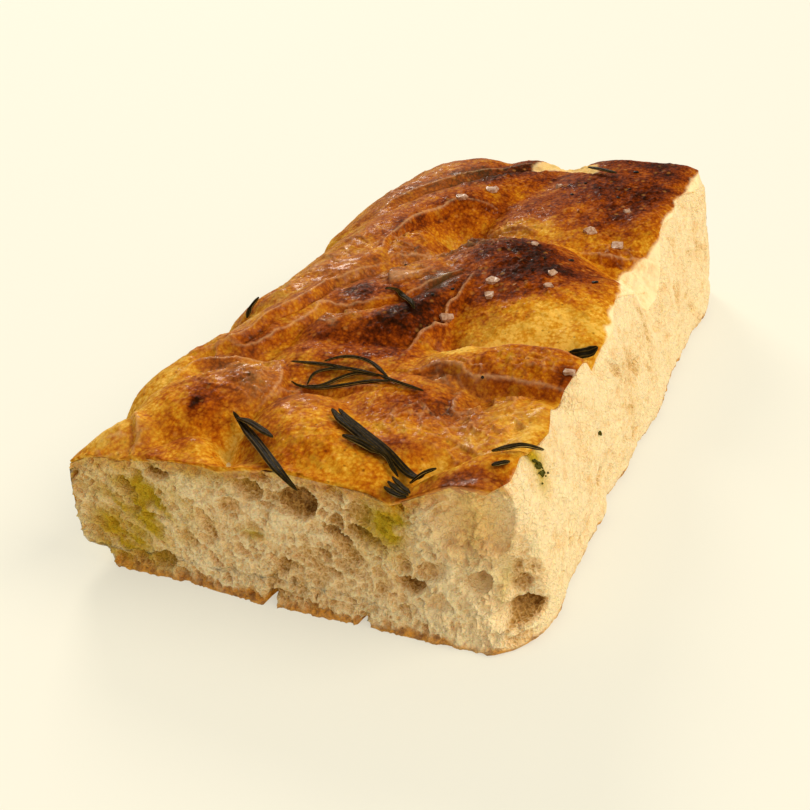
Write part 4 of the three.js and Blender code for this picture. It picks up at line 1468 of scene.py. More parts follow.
@dataclass
class Dough:
    """What the crust and the crumb share: their relief, and where they browned."""

    crust: CrustRelief
    wander: Array = field(init=False)
    wander_cell: float = 3.2
    # How far bare crumb lies under the crust that is gone, and how high its threads stand, in mm.
    bare_sink: float = 0.6
    tatter_height: float = 0.5
    fray_height: float = 0.45
    # How much higher the crust puffed up at the back left, in mm.
    back_hump: float = 1.5
    # What the browning starts from, and how much each cause adds or takes.
    plain_bake: float = 0.345
    crest_bake: float = 0.05
    relief_bake: float = 0.06
    browned_bake: float = 1.1
    golden_bake: float = 0.8
    wander_bake: float = 0.05
    torn_bake: float = 0.5
    # Painted shade: how much darker the creases at the folds' feet are painted.
    crease_shade: float = 0.16
    edge_bake: float = 0.12
    # How far off a crest is measured, and the rise that counts as a full one, in mm.
    crest_reach: float = 6.0
    crest_rise: float = 2.2
    # How much of the skin is gone where it tore.
    torn_share: float = 0.72

    def __post_init__(self) -> None:
        """Makes the slow wandering that breaks up straight limits."""
        cell = (self.wander_cell, self.wander_cell)
        self.wander = self.crust.map.noise(np.random.default_rng(SEED + 1), cell)

    def wandering(self, x: Array, y: Array) -> Array:
        """Returns the slow wandering at places, from -1 to 1."""
        return self.crust.map.sample(x, y, self.wander)

    def top(self, x: Array, y: Array) -> Array:
        """Returns the height of the finished crust."""
        y = np.clip(y, 0, FORM.length)
        calm = 1 - 0.5 * (1 - smooth_step(0, 5, y))
        torn = np.clip(patch_sum(TORN, x, y), 0, 1)
        bare = np.maximum(torn, smooth_step(0, 1.6, self.past_crust(x, y)))
        tatter = self.tatter_height * self.wandering(2 * x, y)
        # The map is read to and fro, three times as fast, for threads finer than its cells.
        fray = self.fray_height * self.wandering(np.abs(3 * x % 180 - 90), np.abs(3 * y % 380 - 190))
        relief = self.crust.map.sample(x, y) * calm * (1 - 0.5 * bare)
        relief = relief - (self.bare_sink - tatter - fray) * bare
        hump = self.back_hump * bell(x, 38, 14) * smooth_step(180, 197, y)
        return FORM.crust_height(x, y) + relief + hump

    def past_crust(self, x: Array, y: Array) -> Array:
        """Returns how far places lie past the line where the crust ends on the right."""
        return x - read_off(CRUST_LIMIT, y) - 0.9 * self.wandering(x, y)

    def browning(self, x: Array, y: Array) -> Array:
        """Returns how far the crust browned, from 0 to 1, with painted shade darkening its creases."""
        x, y = np.clip(x, -9, 103), np.clip(y, 0, FORM.length)
        height = FORM.crust_height(x, y)
        reach = self.crest_reach
        around = [
            FORM.crust_height(x + dx, y + dy) for dx, dy in ((reach, 0), (-reach, 0), (0, reach), (0, -reach))
        ]
        crest = np.clip((height - sum(around) / 4) / self.crest_rise, -1, 1)
        relief = np.clip(self.crust.map.sample(x, y), -1.2, 1.5)
        bake = self.plain_bake + self.crest_bake * crest + self.relief_bake * relief
        bake += self.browned_bake * patch_sum(BROWNED, x, y) - self.golden_bake * patch_sum(GOLDEN, x, y)
        bake += self.wander_bake * self.wandering(x, y)
        bake -= self.torn_bake * smooth_step(0.35, 0.6, patch_sum(TORN, x, y))
        # Painted shade: darker in the creases at the folds' feet.
        bake += self.crease_shade * self.crust.map.sample(x, y, self.crust.crease)
        inner = smooth_step(-9.5, 2, x)
        return bake * inner + (self.edge_bake + 0.06 * self.wandering(x, y)) * (1 - inner)

    def skin(self, x: Array, y: Array, below: Array) -> Array:
        """Returns where there is crust: 1 on the skin, 0 on bare crumb.

        Args:
            x: places across the slab.
            y: places along the slab.
            below: how far each place lies under the top of the crust.
        """
        wander = self.wandering(x, y)
        skin = 1 - smooth_step(1.2, 3.4, below + 0.6 * wander)
        skin *= 1 - smooth_step(-0.4, 0.5, self.past_crust(x, y))
        return skin * (1 - self.torn_share * smooth_step(0.35, 0.6, patch_sum(TORN, x, y) + 0.2 * wander))

    def paint(self, piece: Object, masks: dict[str, Array]) -> None:
        """Stores a piece's masks, each held to 0 to 1."""
        for name in MASKS:
            values = masks.get(name, np.zeros(len(piece.data.vertices)))
            paint(piece, name, np.clip(values, 0, 1))

    def dress(self, piece: Object, finish: BreadFinish, triangles: int, coarse: Array) -> None:
        """Thins a piece where it is plain, shades it smooth and gives it its finish.

        Args:
            piece: the shaped mesh.
            finish: its finish.
            triangles: how many triangles to keep.
            coarse: how readily each vertex may go, from 0 to 1.
        """
        piece.data.calc_loop_triangles()
        group = piece.vertex_groups.new(name="coarse")
        for weight in np.unique(coarse.round(1)):
            group.add(np.flatnonzero(coarse.round(1) == weight).tolist(), float(weight), "REPLACE")
        ratio = min(triangles / len(piece.data.loop_triangles), 1.0)
        apply_modifier(piece, "DECIMATE", ratio=ratio, vertex_group="coarse", vertex_group_factor=1.0)
        piece.vertex_groups.clear()
        join_parts([piece], finish.build())
        piece.data.update()


@dataclass
class CrustSheet:
    """The baked top of the slab: its crust with every fold, over a plain hidden underside."""

    dough: Dough
    across: int = 400
    along: int = 620
    triangles: int = 196_000
    # Rows down the rim: how far in and how far under the top, in mm; the last is a flat floor.
    rim_rows: tuple[Point, ...] = (
        (-0.03, 0.0), (-0.04, 0.4), (0.12, 0.9), (1.6, 1.3), (5.0, 4.5), (14.0, 15.0),
    )
    # How many of them hang from the rim's own height; the others hang from the crust over them.
    outer_rows: int = 3
    floor: float = 24.0

    def build(self) -> Object:
        """Builds and dresses the sheet and returns it."""
        rows = len(self.rim_rows) - 1
        piece = gridded_box(self.across, self.along, rows)
        across, along, level = np.clip(coordinates(piece), 0, 1).T
        row = np.round((1 - level) * rows).astype(int)
        points = FORM.surface(across, along, np.ones_like(across))
        x, y = points[:, 0].copy(), points[:, 1].copy()
        top = self.dough.top(x, y)
        inset, under = np.array(self.rim_rows)[row].T
        rim = Walls(across, along).all()
        below = np.where(rim, under, 0)
        draw_in(points, np.where(rim, inset, 0))
        inner = np.minimum(self.dough.top(points[:, 0], points[:, 1]), top)
        points[:, 2] = np.where(row < self.outer_rows, top, inner) - below
        points[:, 1] += self.ragged_front(x, y)
        points[row == rows, 2] = self.floor
        move_vertices(piece, to_row_frame(points))
        crust = self.dough.crust
        edges = crust.map.sample(x, y, crust.rim)
        self.dough.paint(piece, {
            "crust": self.dough.skin(x, y, below),
            "bake": self.dough.browning(x, y) - 0.1 * (rim & (below > 0.3)),
            # Pale fold crests: partly thin dry skin, partly painted highlight.
            "rim": edges,
            # Oil gloss, and a pale film tone that is partly painted sheen.
            "sheen": 0.7 * patch_sum(SHEEN, x, y) + 0.4 * edges,
            "stain": self.stain(x, y),
        })
        coarse = 1.0 - 0.5 * (level > 0.99)
        self.dough.dress(piece, BreadFinish("oiled_baked_crust", True), self.triangles, coarse)
        return finish_piece(piece, "crust_sheet", ["bread"])

    def ragged_front(self, x: Array, y: Array) -> Array:
        """Returns how the front edge wanders, and hangs over the crumb at the lip."""
        wander = self.dough.wandering(x, np.zeros_like(x))
        fine = self.dough.wandering(20 + 0.9 * x, np.full_like(x, 40.0))
        lip = 1.0 * bell(x, 93, 9) + 0.4 * bell(x, 25, 20)
        return (1 - smooth_step(0, 3, y)) * (0.6 * wander + 0.3 * fine + 0.3 - lip)

    @staticmethod
    def stain(x: Array, y: Array) -> Array:
        """Returns where oil greened the pale shoulder and the bare crumb of the torn flap."""
        oiled = 0.9 * bell(x, 99, 4) * bell(y, 17, 4) + 0.3 * bell(x, 102, 3) * bell(y, 60, 20)
        return 0.5 * np.clip(patch_sum(TORN, x, y), 0, 1) + oiled


@dataclass
class CrumbBody:
    """The crumb under the crust: two cut ends, the pale side, the baked side and the base."""

    dough: Dough
    across: int = 500
    along: int = 270
    up: int = 98
    triangles: int = 196_000
    under_crust: float = 0.7
    # The two hidden rows over the walls: how far in they lie, how far the first lies under the
    # crust, and the height of the second.
    insets: Point = (1.6, 14.0)
    tucked: float = 1.5
    ceiling: float = 27.0
    # The reliefs' rectangles, in x and z on the ends and in y and z on the sides.
    ends: tuple[Point, Point] = ((-14, -1), (112, 50))
    sides: tuple[Point, Point] = ((-3, -1), (202, 50))

    def build(self, rng: Rng) -> Object:
        """Builds and dresses the crumb.

        Args:
            rng: the source of random numbers.

        Returns:
            The finished piece.
        """
        piece = gridded_box(self.across, self.along, self.up + 2)
        dissolve_level(piece, 1.0)
        across, along, up = np.clip(coordinates(piece), 0, 1).T
        row = np.round(up * (self.up + 2)).astype(int)
        tucked, ceiling = row == self.up + 1, row == self.up + 2
        level = np.minimum(row / self.up, 1.0)
        points = FORM.surface(across, along, level)
        x, y = points[:, 0].copy(), points[:, 1].copy()
        height = self.dough.top(x, y) - self.under_crust
        points[:, 2] = level * height
        walls = Walls(across, along)
        depth = self.push_in(points, walls, level, rng)
        draw_in(points, np.select([tucked, ceiling], self.insets, 0.0))
        crust = self.dough.top(points[:, 0], points[:, 1])
        points[:, 2] = np.where(tucked, crust - self.tucked, points[:, 2])
        points[ceiling, 2] = self.ceiling
        points[:, 2] = np.maximum(points[:, 2], 0)
        move_vertices(piece, to_row_frame(points))
        self.paint(piece, walls, np.stack([x, y, points[:, 2]]), height, depth)
        coarse = 1.0 - 0.9 * (along < 0.01) - 0.4 * ((across > 0.99) & (along > 0.01))
        self.dough.dress(piece, BreadFinish("open_wheat_crumb", False), self.triangles, coarse)
        return finish_piece(piece, "crumb_body", ["bread"])

    def push_in(self, points: Array, walls: Walls, level: Array, rng: Rng) -> Array:
        """Pushes the walls in by their crumb's holes.

        Args:
            points: the vertices' places, which are changed.
            walls: which of them lie on the walls.
            level: how high up the wall each lies, from 0 to 1.
            rng: the source of random numbers.

        Returns:
            How deep each place's hole is, in millimetres.
        """
        x, y, z = points.T.copy()
        rim = 0.25 + 0.75 * np.minimum(1, (1 - level) / 0.06)
        foot = 0.35 + 0.65 * smooth_step(0, 2.5, z)
        # The cut end's relief runs a little way around its right corner.
        turned = np.where(walls.cut, 1.0, np.where(walls.right, 1 - smooth_step(0.5, 11, y), 0.0))
        front = CrumbRelief(CrumbFace.CUT_END, *self.ends).build(rng).sample(x, z) * rim * foot * turned
        front *= 1 - 0.65 * smooth_step(95, 101, x) * smooth_step(17, 24, z)
        for middle, half, height, deep in BASE_NICKS:
            nick = 1 - np.abs((x - middle) / half) ** 2 - np.clip(z / height, 0, 1) ** 1.5
            front = np.maximum(front, deep * np.sqrt(np.clip(nick, 0, 1)) * (1 - smooth_step(0, 14, y)))
        rear = CrumbRelief(CrumbFace.BACK, *self.ends, 0.2).build(rng).sample(x, z) * rim * foot
        pale = CrumbRelief(CrumbFace.RIGHT, *self.sides, 0.2).build(rng).sample(y, z) * rim
        baked = CrumbRelief(CrumbFace.LEFT, *self.sides, 0.3).build(rng).sample(y, z) * rim
        pale *= smooth_step(0, 8, y)
        bend = 2.6 * turned * np.clip((x - 83) / 13, 0, 1.2) ** 2 * smooth_step(2, 12, z)
        points[:, 1] += front + bend - np.where(walls.back, rear, 0)
        points[:, 0] += np.where(walls.left, baked, 0) - np.where(walls.right, pale, 0)
        depths = [front, rear, np.maximum(front, pale * 1.3)]
        return np.select([walls.cut, walls.back, walls.right], depths, 0.0)

    def paint(self, piece: Object, walls: Walls, places: Array, height: Array, depth: Array) -> None:
        """Paints the baked left side, the browned base, the oil stains and the holes' depth, with painted
        shade down the holes and across the cut end.

        Args:
            piece: the shaped crumb.
            walls: which of its vertices lie on its walls.
            places: their x, y and z, in three rows.
            height: how high the crumb reaches over each.
            depth: how deep each lies in a hole.
        """
        x, y, z = places
        wander = self.dough.wandering(x, y)
        upright = self.dough.wandering(np.where(walls.cut, x + z, z + 20), y + z)
        cut, right = walls.cut, walls.right
        # Crust: the baked side, and browning that bled in under the crust and round the left edge.
        skin = np.where(walls.left, 0.85 * smooth_step(4, 15, z + 2 * upright), 0)
        bleed = np.where(cut, 1 - smooth_step(0.2, 3.4, height - z + 1.3 * wander - 0.6), 0)
        side_bleed = np.where(cut, (1 - smooth_step(0, 7, x + 8.5 + wander)) * smooth_step(14, 22, z), 0)
        warm = 0.62 * cut * bell(x, 91, 7) * smooth_step(16, 26, z) + 0.2 * cut * bell(x, 2, 10)
        # Oil: stains on the cut end, and one on the right shoulder.
        stain = np.where(cut, patch_sum(STAINS, x, z), 0) * np.clip(0.56 + 0.46 * upright, 0.15, 0.8)
        shoulder = 1.1 * bell(y, 18, 3.5) * smooth_step(24, 33, z) * np.clip(0.7 + 0.5 * upright, 0, 1)
        shoulder = np.where(right, shoulder, 0)
        # Painted shade: darker down the holes and left of the middle of the cut end, paler at its right end,
        # where light falls; the pale side is darker in random blotches.
        pale_end = 1 - cut * bell(x, 94, 11) * (0.5 + 0.45 * smooth_step(12, 22, z))
        away = np.where(right, 0.24 * np.clip(upright, 0, 1), 0)
        away += (0.1 * cut * (1 - smooth_step(58, 92, x)) * smooth_step(2, 30, x)
                 - 0.26 * cut * smooth_step(76, 92, x))
        base = 1 - smooth_step(0.6, 2.4 + 2.2 * bell(x, 8, 26), z + 1.1 * upright)
        self.dough.paint(piece, {
            "crust": np.maximum.reduce([skin, 0.7 * bleed, 0.35 * side_bleed, warm]),
            "bake": 0.16 + 0.1 * upright - 0.45 * warm,
            "depth": 0.74 * np.clip((depth - 0.2) / 3.4, 0, 1) ** 0.9 * pale_end + away,
            "stain": np.maximum(stain, shoulder),
            "base": 0.85 * base,
        })


# ---- rosemary ----


@dataclass(frozen=True)
class Leaf:
    """One leaf or stem: the (x, y) points that it passes over, its sizes, end lifts and roll in degrees."""

    over: tuple[Point, ...]
    width: float
    thick: float
    lift: Point
    roll: float = 0.0


ROSEMARY: dict[str, tuple[Leaf, ...]] = {
    "rosemary_pair": (
        Leaf(((28.4, 18.1), (32.2, 15.6), (42.2, 6.3), (50.8, -1.2), (56.8, -4.5)), 2.3, 1.1, (0.3, 0.9)),
        Leaf(((29.4, 17.4), (34.4, 14.7), (40.8, 10.2), (45.1, 7.5)), 1.8, 1, (0.3, 1.1)),
    ),
    "rosemary_sprig": (
        Leaf(((53.5, 41.7), (59.7, 38.1), (67.6, 36.2)), 1, 0.9, (0.6, 0.3)),
        Leaf(((30.1, 42.6), (37.9, 43.8), (44.1, 43.6), (53.4, 41.4)), 1.3, 0.9, (0.6, 0.7)),
        Leaf(((38.2, 44.4), (41.6, 46.4), (45.6, 46.9), (50.6, 45.3), (57.4, 39.4)), 1.1, 0.9, (1, 0.8)),
        Leaf(((37.4, 36.4), (37.4, 40.4), (40.5, 42.7), (46.3, 43), (54.6, 40.2)), 1, 0.9, (0.8, 1.1)),
        Leaf(((37.2, 36.4), (40.8, 37.6), (44.1, 40.7), (48.2, 42.2), (54.8, 40.6)), 1.1, 0.9, (0.5, 0.6)),
        Leaf(
            ((33.3, 36.3), (35.8, 36), (40.8, 36.6), (46.6, 38.3), (53.4, 38.4), (59.4, 38.2)),
            1.2, 0.9, (0.5, 0.5),
        ),
    ),
    "rosemary_bundle": (
        Leaf(((52.4, 20.7), (56.2, 17.2), (60.5, 14.6), (65.5, 11.6), (70.9, 9.1)), 2.1, 1.2, (0.5, 0.4)),
        Leaf(
            ((53.5, 21.8), (57, 18.9), (61.6, 15.9), (69.4, 11.3), (75, 8.4), (78.4, 6.6), (80.6, 5.6)),
            2.2, 1.1, (0.7, 0),
        ),
        Leaf(((59.7, 11), (63.1, 10.8), (69.3, 9.4)), 2, 1.2, (0.3, 0.3)),
        Leaf(((66.2, 10.8), (70.6, 8.9), (72.7, 7.2), (74.1, 6.4)), 1, 0.9, (0.9, 0.3)),
        Leaf(((77, 5.4), (80.2, 5.2), (83.4, 4.6)), 1.2, 0.9, (0.3, 0.3)),
    ),
    "rosemary_tips": (
        Leaf(((72.9, 2), (76, 0.3), (79.2, -1.2)), 1.3, 0.9, (0.6, 0.3)),
        Leaf(((73.1, 3.4), (76.2, 1.4), (79.5, -0.9)), 1.3, 0.9, (0.8, 0.4)),
        Leaf(((73.5, 4.8), (76.7, 2.2), (79.8, -0.6)), 1.2, 0.9, (1, 0.5)),
    ),
    "rosemary_needle_centre": (
        Leaf(((38.3, 80.8), (41, 81.7), (43.6, 80.6), (48.5, 74.2), (50.8, 71.2)), 1.6, 1.1, (0.8, 0.4)),
    ),
    "rosemary_needle_left": (
        Leaf(((0.8, 70), (0.8, 72.1), (1.7, 73.2), (2.9, 74.3)), 1.5, 1, (0.2, 1.4)),
    ),
    "rosemary_leaf_right": (
        Leaf(((92.2, 65.2), (95, 64.6), (97.2, 66), (99.2, 67.4)), 2.6, 0.9, (0.1, 2.8), 55),
    ),
    "rosemary_needle_front_right": (
        Leaf(((93, 9.8), (95.4, 11.8), (98, 14.2), (101, 18.2)), 1.5, 1, (0.3, 1.2)),
    ),
    "rosemary_bit_front_right": (
        Leaf(((94.5, 5.5), (96, 6.8), (97.4, 8)), 1.4, 0.8, (0.3, 0.3)),
    ),
    "rosemary_needle_back": (
        Leaf(((65.8, 183.5), (70.8, 179.7), (77.3, 175.7)), 1.7, 1, (0.4, 0.7)),
    ),
}


@dataclass
class Rosemary:
    """The rosemary leaves and sprigs that lie on the crust."""

    sides: int = 36
    rings: int = 34
    gap: float = 0.2
    droop: float = 0.5
    # Points of the spine for each span, and how far apart its run is measured, in mm.
    spine_steps: int = 24
    run_reach: float = 0.3
    # How much of the rings' spacing is eased, so that they lie closer at the ends.
    easing: float = 0.35
    # The share of a leaf's length over which its end closes.
    end_share: float = 0.03
    # The groove along the middle, above and below, and the fine ribs.
    groove_depths: Point = (0.5, 0.45)
    groove_widths: Point = (0.3, 0.35)
    rib_height: float = 0.09
    rib_count: int = 7

    def build(self) -> list[Object]:
        """Builds one piece for each CAD node and returns them."""
        finish = LeafFinish().build()
        pieces = []
        for name, leaves in ROSEMARY.items():
            piece = join_parts([self.leaf(leaf) for leaf in leaves], finish)
            pieces.append(finish_piece(piece, name + "_leaves", [name]))
        return pieces

    def resting_height(self, x: Array, y: Array, width: float) -> Array:
        """Returns the height at which a leaf of this width clears the crust."""
        reach = width / 2
        inside = np.maximum(y, 0)
        crust = [
            FORM.crust_height(x + dx, np.maximum(inside + dy, 0))
            for dx, dy in ((0, 0), (reach, 0), (-reach, 0), (0, reach), (0, -reach))
        ]
        return np.max(crust, axis=0) - self.droop * np.maximum(-y, 0)

    def spine(self, leaf: Leaf) -> Array:
        """Returns points along a leaf's middle line."""
        points = np.array(leaf.over)
        rise = np.linspace(leaf.lift[0], leaf.lift[1], len(points))
        z = self.resting_height(points[:, 0], points[:, 1], leaf.width) + self.gap + leaf.thick / 2 + rise
        return smooth_path(np.column_stack([points, z]), self.spine_steps)

    def tube(self) -> Object:
        """Models a plain upright tube, one unit high and wide."""
        deselect_all()
        bpy.ops.mesh.primitive_cylinder_add(vertices=self.sides, radius=0.5, depth=1, location=(0, 0, 0.5))
        piece = bpy.context.object
        bpy.ops.object.transform_apply(location=True, rotation=True, scale=True)
        select_upright_edges(piece)
        with edit_mode():
            bpy.ops.mesh.subdivide(number_cuts=self.rings - 1)
        return piece

    def leaf(self, leaf: Leaf) -> Object:
        """Models one leaf: a tube flattened, grooved and laid along its path.

        Args:
            leaf: its path and sizes.

        Returns:
            The leaf's object.
        """
        piece = self.tube()
        places = coordinates(piece)
        spine = self.spine(leaf)
        lengths = np.concatenate([[0], np.cumsum(np.linalg.norm(np.diff(spine, axis=0), axis=1))])
        share = np.clip(places[:, 2], 0, 1)
        eased = (1 - np.cos(math.pi * share)) / 2 * self.easing + share * (1 - self.easing)
        along = eased * lengths[-1]
        behind, middle, ahead = (
            np.stack([np.interp(along + step, lengths, line) for line in spine.T], axis=1)
            for step in (-self.run_reach, 0.0, self.run_reach)
        )
        run = ahead - behind
        run /= np.linalg.norm(run, axis=1)[:, None]
        side = np.cross(run, [0, 0, 1])
        side /= np.linalg.norm(side, axis=1)[:, None]
        up = np.cross(side, run)
        roll = math.radians(leaf.roll)
        side, up = side * math.cos(roll) - up * math.sin(roll), up * math.cos(roll) + side * math.sin(roll)
        taper = np.minimum(1, np.minimum(0.34 + 2.6 * eased, 0.28 + 3.4 * (1 - eased)))
        ends = np.minimum(1, np.minimum(eased, 1 - eased) / self.end_share)
        taper = taper * np.sqrt(np.clip(ends, 0.02, 1))
        angle = np.arctan2(places[:, 1], places[:, 0])
        radius = np.hypot(places[:, 0], places[:, 1]) * 2
        out, upper = np.cos(angle) * radius, np.sin(angle) * radius
        rim = np.abs(out)
        grooves = zip(self.groove_depths, self.groove_widths)
        over, under = (depth * np.exp(-((out / width) ** 2)) for depth, width in grooves)
        ribs = self.rib_height * np.cos(self.rib_count * angle + 0.6 * np.sin(9 * eased))
        lens = upper * (1 - 0.25 * rim**2) + (np.where(upper > 0, -over, under) + ribs) * radius
        places = (
            middle + side * (out * leaf.width / 2 * taper)[:, None]
            + up * (lens * leaf.thick / 2 * np.sqrt(taper))[:, None]
        )
        move_vertices(piece, to_row_frame(places))
        # The rims, the ribs and the middle of the upper side are lighter: partly their own paler tone, partly
        # painted highlight.
        light = 0.55 * rim**6 * (upper > -0.1) + 9.0 * np.maximum(ribs - 0.04, 0) - 0.12
        light += 0.1 * np.exp(-(((out - 0.1) / 0.4) ** 2)) * (upper > 0) * min(leaf.width / 2, 1)
        paint(piece, "ridge_tone_and_highlight", light)
        return piece


# ---- salt and specks ----


@dataclass(frozen=True)
class Flake:
    """A flake of salt: its place, size and turn in degrees."""

    x: float
    y: float
    length: float
    width: float
    turn: float


FLAKES: tuple[Flake, ...] = (
    Flake(40.4, 160.6, 3.2, 2.4, 20), Flake(34.1, 149.7, 3.2, 1.8, 5), Flake(78.4, 138.7, 2.8, 2.4, 40),
    Flake(87.4, 135.8, 2.6, 2.4, 15), Flake(65.1, 90.8, 2.6, 2.2, 60), Flake(66.3, 84.6, 2, 1.8, 10),
    Flake(80.3, 90, 2.2, 1.6, 30), Flake(79.2, 97.3, 2, 1.6, 70), Flake(68.9, 115.2, 1.8, 1.6, 0),
    Flake(57.8, 75.2, 2.6, 1.6, 20), Flake(97, 50.5, 2.4, 1.2, 10), Flake(60, 170, 1.8, 1.4, 50),
    Flake(86, 153, 1.8, 1.4, 25),
)
SPECKS: tuple[tuple[float, float, float], ...] = (
    (80.3, 111.4, 1.5), (74.7, 105.9, 1.0), (90.4, 98.3, 1.6), (52.3, 80.1, 1.3), (55.8, 85.4, 1.0),
    (33.5, 105.4, 1.2), (74.4, 95.9, 0.9), (81.1, 161.7, 1.6), (81.8, 182.7, 2.0), (66.4, 162.1, 1.3),
    (68.6, 170.7, 1.1), (78, 46, 1.1), (83.3, 167.9, 1.2), (74.3, 166, 0.9),
)


@dataclass
class Toppings:
    """Salt flakes, scorched specks and herb crumbs on the bread."""

    dough: Dough
    # How much larger a flake is than its solid in the plan, and its height, in mm.
    salt_growth: Point = (1.15, 1.3)
    salt_height: float = 1.5
    salt_bevel: float = 0.2
    salt_chipping: float = 0.15
    salt_tilt: float = 26.0
    # How far the middle of a flake or a speck lies over the crust, in mm.
    lift: float = 0.05
    speck_height: float = 0.6
    herb_count: int = 34
    # Where the herb crumbs lie on the pale side: y, and their share of its height.
    herbs_at: Point = (18.0, 0.97)
    # The one crumb that lies apart from them: y, share of the height and size.
    lone_herb: tuple[float, float, float] = (55.6, 0.57, 1.1)

    def surface(self, x: float, y: float) -> float:
        """Returns the height of the finished crust at one place."""
        return float(self.dough.top(np.array([float(x)]), np.array([float(y)]))[0])

    def salt(self, rng: Rng) -> Object:
        """Models every salt flake and returns them as one piece."""
        parts = []
        for flake in FLAKES:
            deselect_all()
            bpy.ops.mesh.primitive_cube_add(size=1)
            piece = bpy.context.object
            with edit_mode():
                bpy.ops.mesh.select_all(action="SELECT")
                bpy.ops.mesh.bevel(offset=self.salt_bevel, segments=1, affect="EDGES")
            places = coordinates(piece)
            places += rng.uniform(-self.salt_chipping, self.salt_chipping, places.shape)
            grown_x, grown_y = self.salt_growth
            places *= (flake.length * grown_x, flake.width * grown_y, self.salt_height)
            turn = math.radians(flake.turn)
            tilt = math.radians(rng.uniform(0, self.salt_tilt))
            spin = np.array(Matrix.Rotation(turn, 3, "Z") @ Matrix.Rotation(tilt, 3, "X"))
            places = places @ spin.T
            places += (flake.x, flake.y, self.surface(flake.x, flake.y) + self.lift)
            move_vertices(piece, to_row_frame(places))
            parts.append(piece)
        flakes = join_parts(parts, SaltFinish().build(), smooth=False)
        return finish_piece(flakes, "salt_flakes", ["bread"])

    @staticmethod
    def speck(rng: Rng, size: float, flat: float, at: Sequence[float]) -> Object:
        """Models one lumpy speck.

        Args:
            rng: the source of random numbers.
            size: its width in millimetres.
            flat: its height in millimetres.
            at: its place in the layout frame, in millimetres.

        Returns:
            The speck's object.
        """
        deselect_all()
        bpy.ops.mesh.primitive_ico_sphere_add(subdivisions=3, radius=0.5)
        piece = bpy.context.object
        places = coordinates(piece)
        lumps = 1 + 0.22 * np.sin(places @ rng.uniform(-9, 9, (3, 1))).ravel()
        places = places * lumps[:, None] * (size, size * rng.uniform(0.6, 0.9), flat)
        places = places @ np.array(Matrix.Rotation(rng.uniform(0, 3.1), 3, "Z")).T
        move_vertices(piece, to_row_frame(places + at))
        return piece

    def specks(self, rng: Rng) -> Object:
        """Models the scorched specks and returns them as one piece."""
        parts = [
            self.speck(rng, size, self.speck_height, (x, y, self.surface(x, y) + self.lift))
            for x, y, size in SPECKS
        ]
        specks = join_parts(parts, PlainFinish("scorched_herb_specks", "#171009", 0.5).build())
        return finish_piece(specks, "scorched_specks", ["bread"])

    def herbs(self, rng: Rng) -> Object:
        """Models the herb crumbs on the pale side and returns them as one piece."""
        middle, top = self.herbs_at
        drops = rng.normal(0, 1, (self.herb_count, 2))
        herbs = [
            (middle + 1.1 * across + 0.5 * down, top - 0.05 * abs(down), rng.uniform(0.25, 0.8))
            for across, down in drops
        ]
        parts = []
        for y, level, size in [*herbs, self.lone_herb]:
            at = FORM.surface(np.array([1.0]), np.array([y / FORM.length]), np.array([level]))[0]
            parts.append(self.speck(rng, size, size, at))
        crumbs = join_parts(parts, PlainFinish("dried_herb_crumbs", "#4c4a0c", 0.6).build())
        return finish_piece(crumbs, "herb_crumbs", ["bread"])


# ---- the studio ----


@dataclass(frozen=True)
class SoftLight:
    """A wide soft light: where it comes from, its strength, spread and colour."""

    azimuth: float
    elevation: float
    strength: float
    spread: float
    colour: str


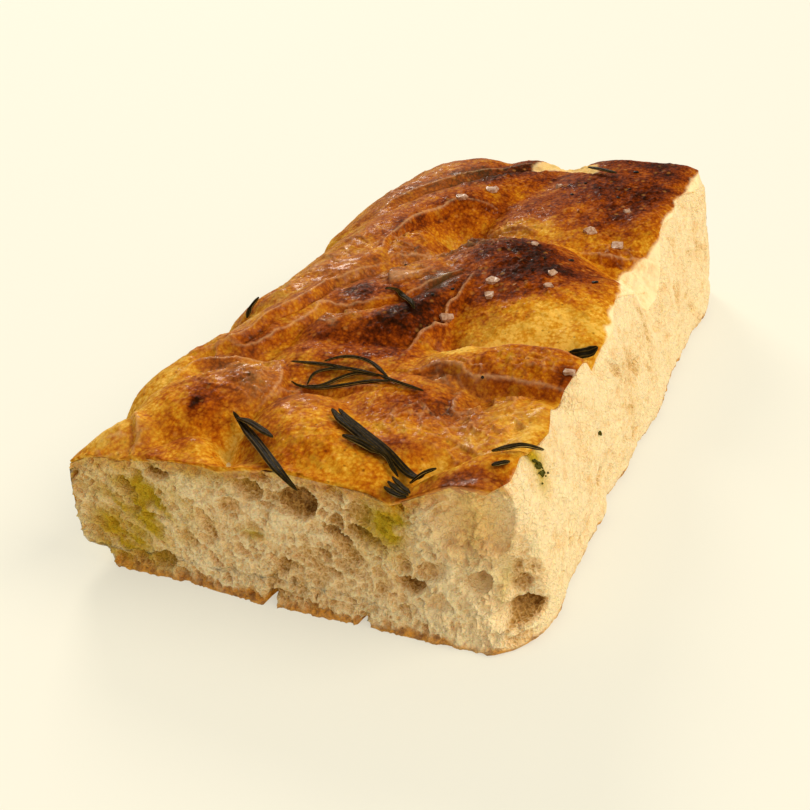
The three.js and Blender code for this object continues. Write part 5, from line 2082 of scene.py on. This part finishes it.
@dataclass
class Studio:
    """A pale floor, soft light and the camera."""

    floor_colour: str = "#f6f4e3"
    floor_glow: float = 0.54
    floor_roughness: float = 0.9
    floor_size: float = 6.0
    world_colour: str = "#fffaf2"
    world_strength: float = 0.5
    lights: tuple[SoftLight, ...] = (
        SoftLight(74, 44, 1.8, 34, "#fff1da"),
        SoftLight(-34, 28, 1.5, 18, "#fff5e8"),
        SoftLight(128, 22, 0.6, 25, "#ffe2ba"),
    )
    camera_mm: tuple[float, float, float] = (157.139, -160.169, 150.833)
    azimuth: float = 25.701
    elevation: float = 28.258
    roll: float = -5.0
    lens_mm: float = 48.33
    sensor_mm: float = 36.0
    nearest: float = 0.01

    def build(self) -> None:
        """Sets up the floor, the lights and the camera."""
        self.floor()
        self.lamps()
        self.camera()

    def floor(self) -> None:
        """Lays the floor."""
        deselect_all()
        bpy.ops.mesh.primitive_plane_add(size=self.floor_size)
        floor = bpy.context.object
        floor.name = "floor"
        finish = PlainFinish("light_table_acrylic", self.floor_colour, self.floor_roughness, self.floor_glow)
        floor.data.materials.append(finish.build())

    def lamps(self) -> None:
        """Hangs the soft lights and sets the world's light."""
        for index, lamp in enumerate(self.lights):
            data = bpy.data.lights.new(f"soft_light_{index + 1}", "SUN")
            data.energy = lamp.strength
            data.angle = math.radians(lamp.spread)
            data.color = linear_colour(lamp.colour)[:3]
            light = bpy.data.objects.new(data.name, data)
            bpy.context.scene.collection.objects.link(light)
            azimuth, height = math.radians(lamp.azimuth), math.radians(lamp.elevation)
            towards = Vector((math.sin(azimuth) * math.cos(height), math.cos(azimuth) * math.cos(height),
                              math.sin(height)))
            light.rotation_euler = (-towards).to_track_quat("-Z", "Y").to_euler()
        world = bpy.data.worlds.new("studio")
        world.use_nodes = True
        background = world.node_tree.nodes["Background"]
        background.inputs["Color"].default_value = linear_colour(self.world_colour)
        background.inputs["Strength"].default_value = self.world_strength
        bpy.context.scene.world = world
        bpy.context.scene.view_settings.view_transform = "Standard"

    def camera(self) -> None:
        """Places the camera at the studio's viewing angle."""
        a, e, r = (math.radians(angle) for angle in (self.azimuth, self.elevation, self.roll))
        back = Vector((math.sin(a) * math.cos(e), -math.cos(a) * math.cos(e), math.sin(e)))
        level = (-back).cross(Vector((0, 0, 1))).normalized()
        upright = level.cross(-back)
        right = math.cos(r) * level + math.sin(r) * upright
        up = -math.sin(r) * level + math.cos(r) * upright
        data = bpy.data.cameras.new("camera")
        data.sensor_width = self.sensor_mm
        data.lens = self.lens_mm
        data.clip_start = self.nearest
        camera = bpy.data.objects.new("camera", data)
        bpy.context.scene.collection.objects.link(camera)
        place = to_row_frame(np.array(self.camera_mm))
        turn = Matrix((right, up, back)).transposed().to_4x4()
        camera.matrix_world = Matrix.Translation(Vector(place)) @ turn
        bpy.context.scene.camera = camera


def main() -> None:
    """Builds the slab, its toppings and the studio."""
    rng = np.random.default_rng(SEED)
    crust = CrustRelief()
    crust.build(rng)
    dough = Dough(crust)
    CrustSheet(dough).build()
    CrumbBody(dough).build(rng)
    Rosemary().build()
    toppings = Toppings(dough)
    toppings.salt(rng)
    toppings.specks(rng)
    toppings.herbs(rng)
    Studio().build()


if __name__ == "__main__":
    main()
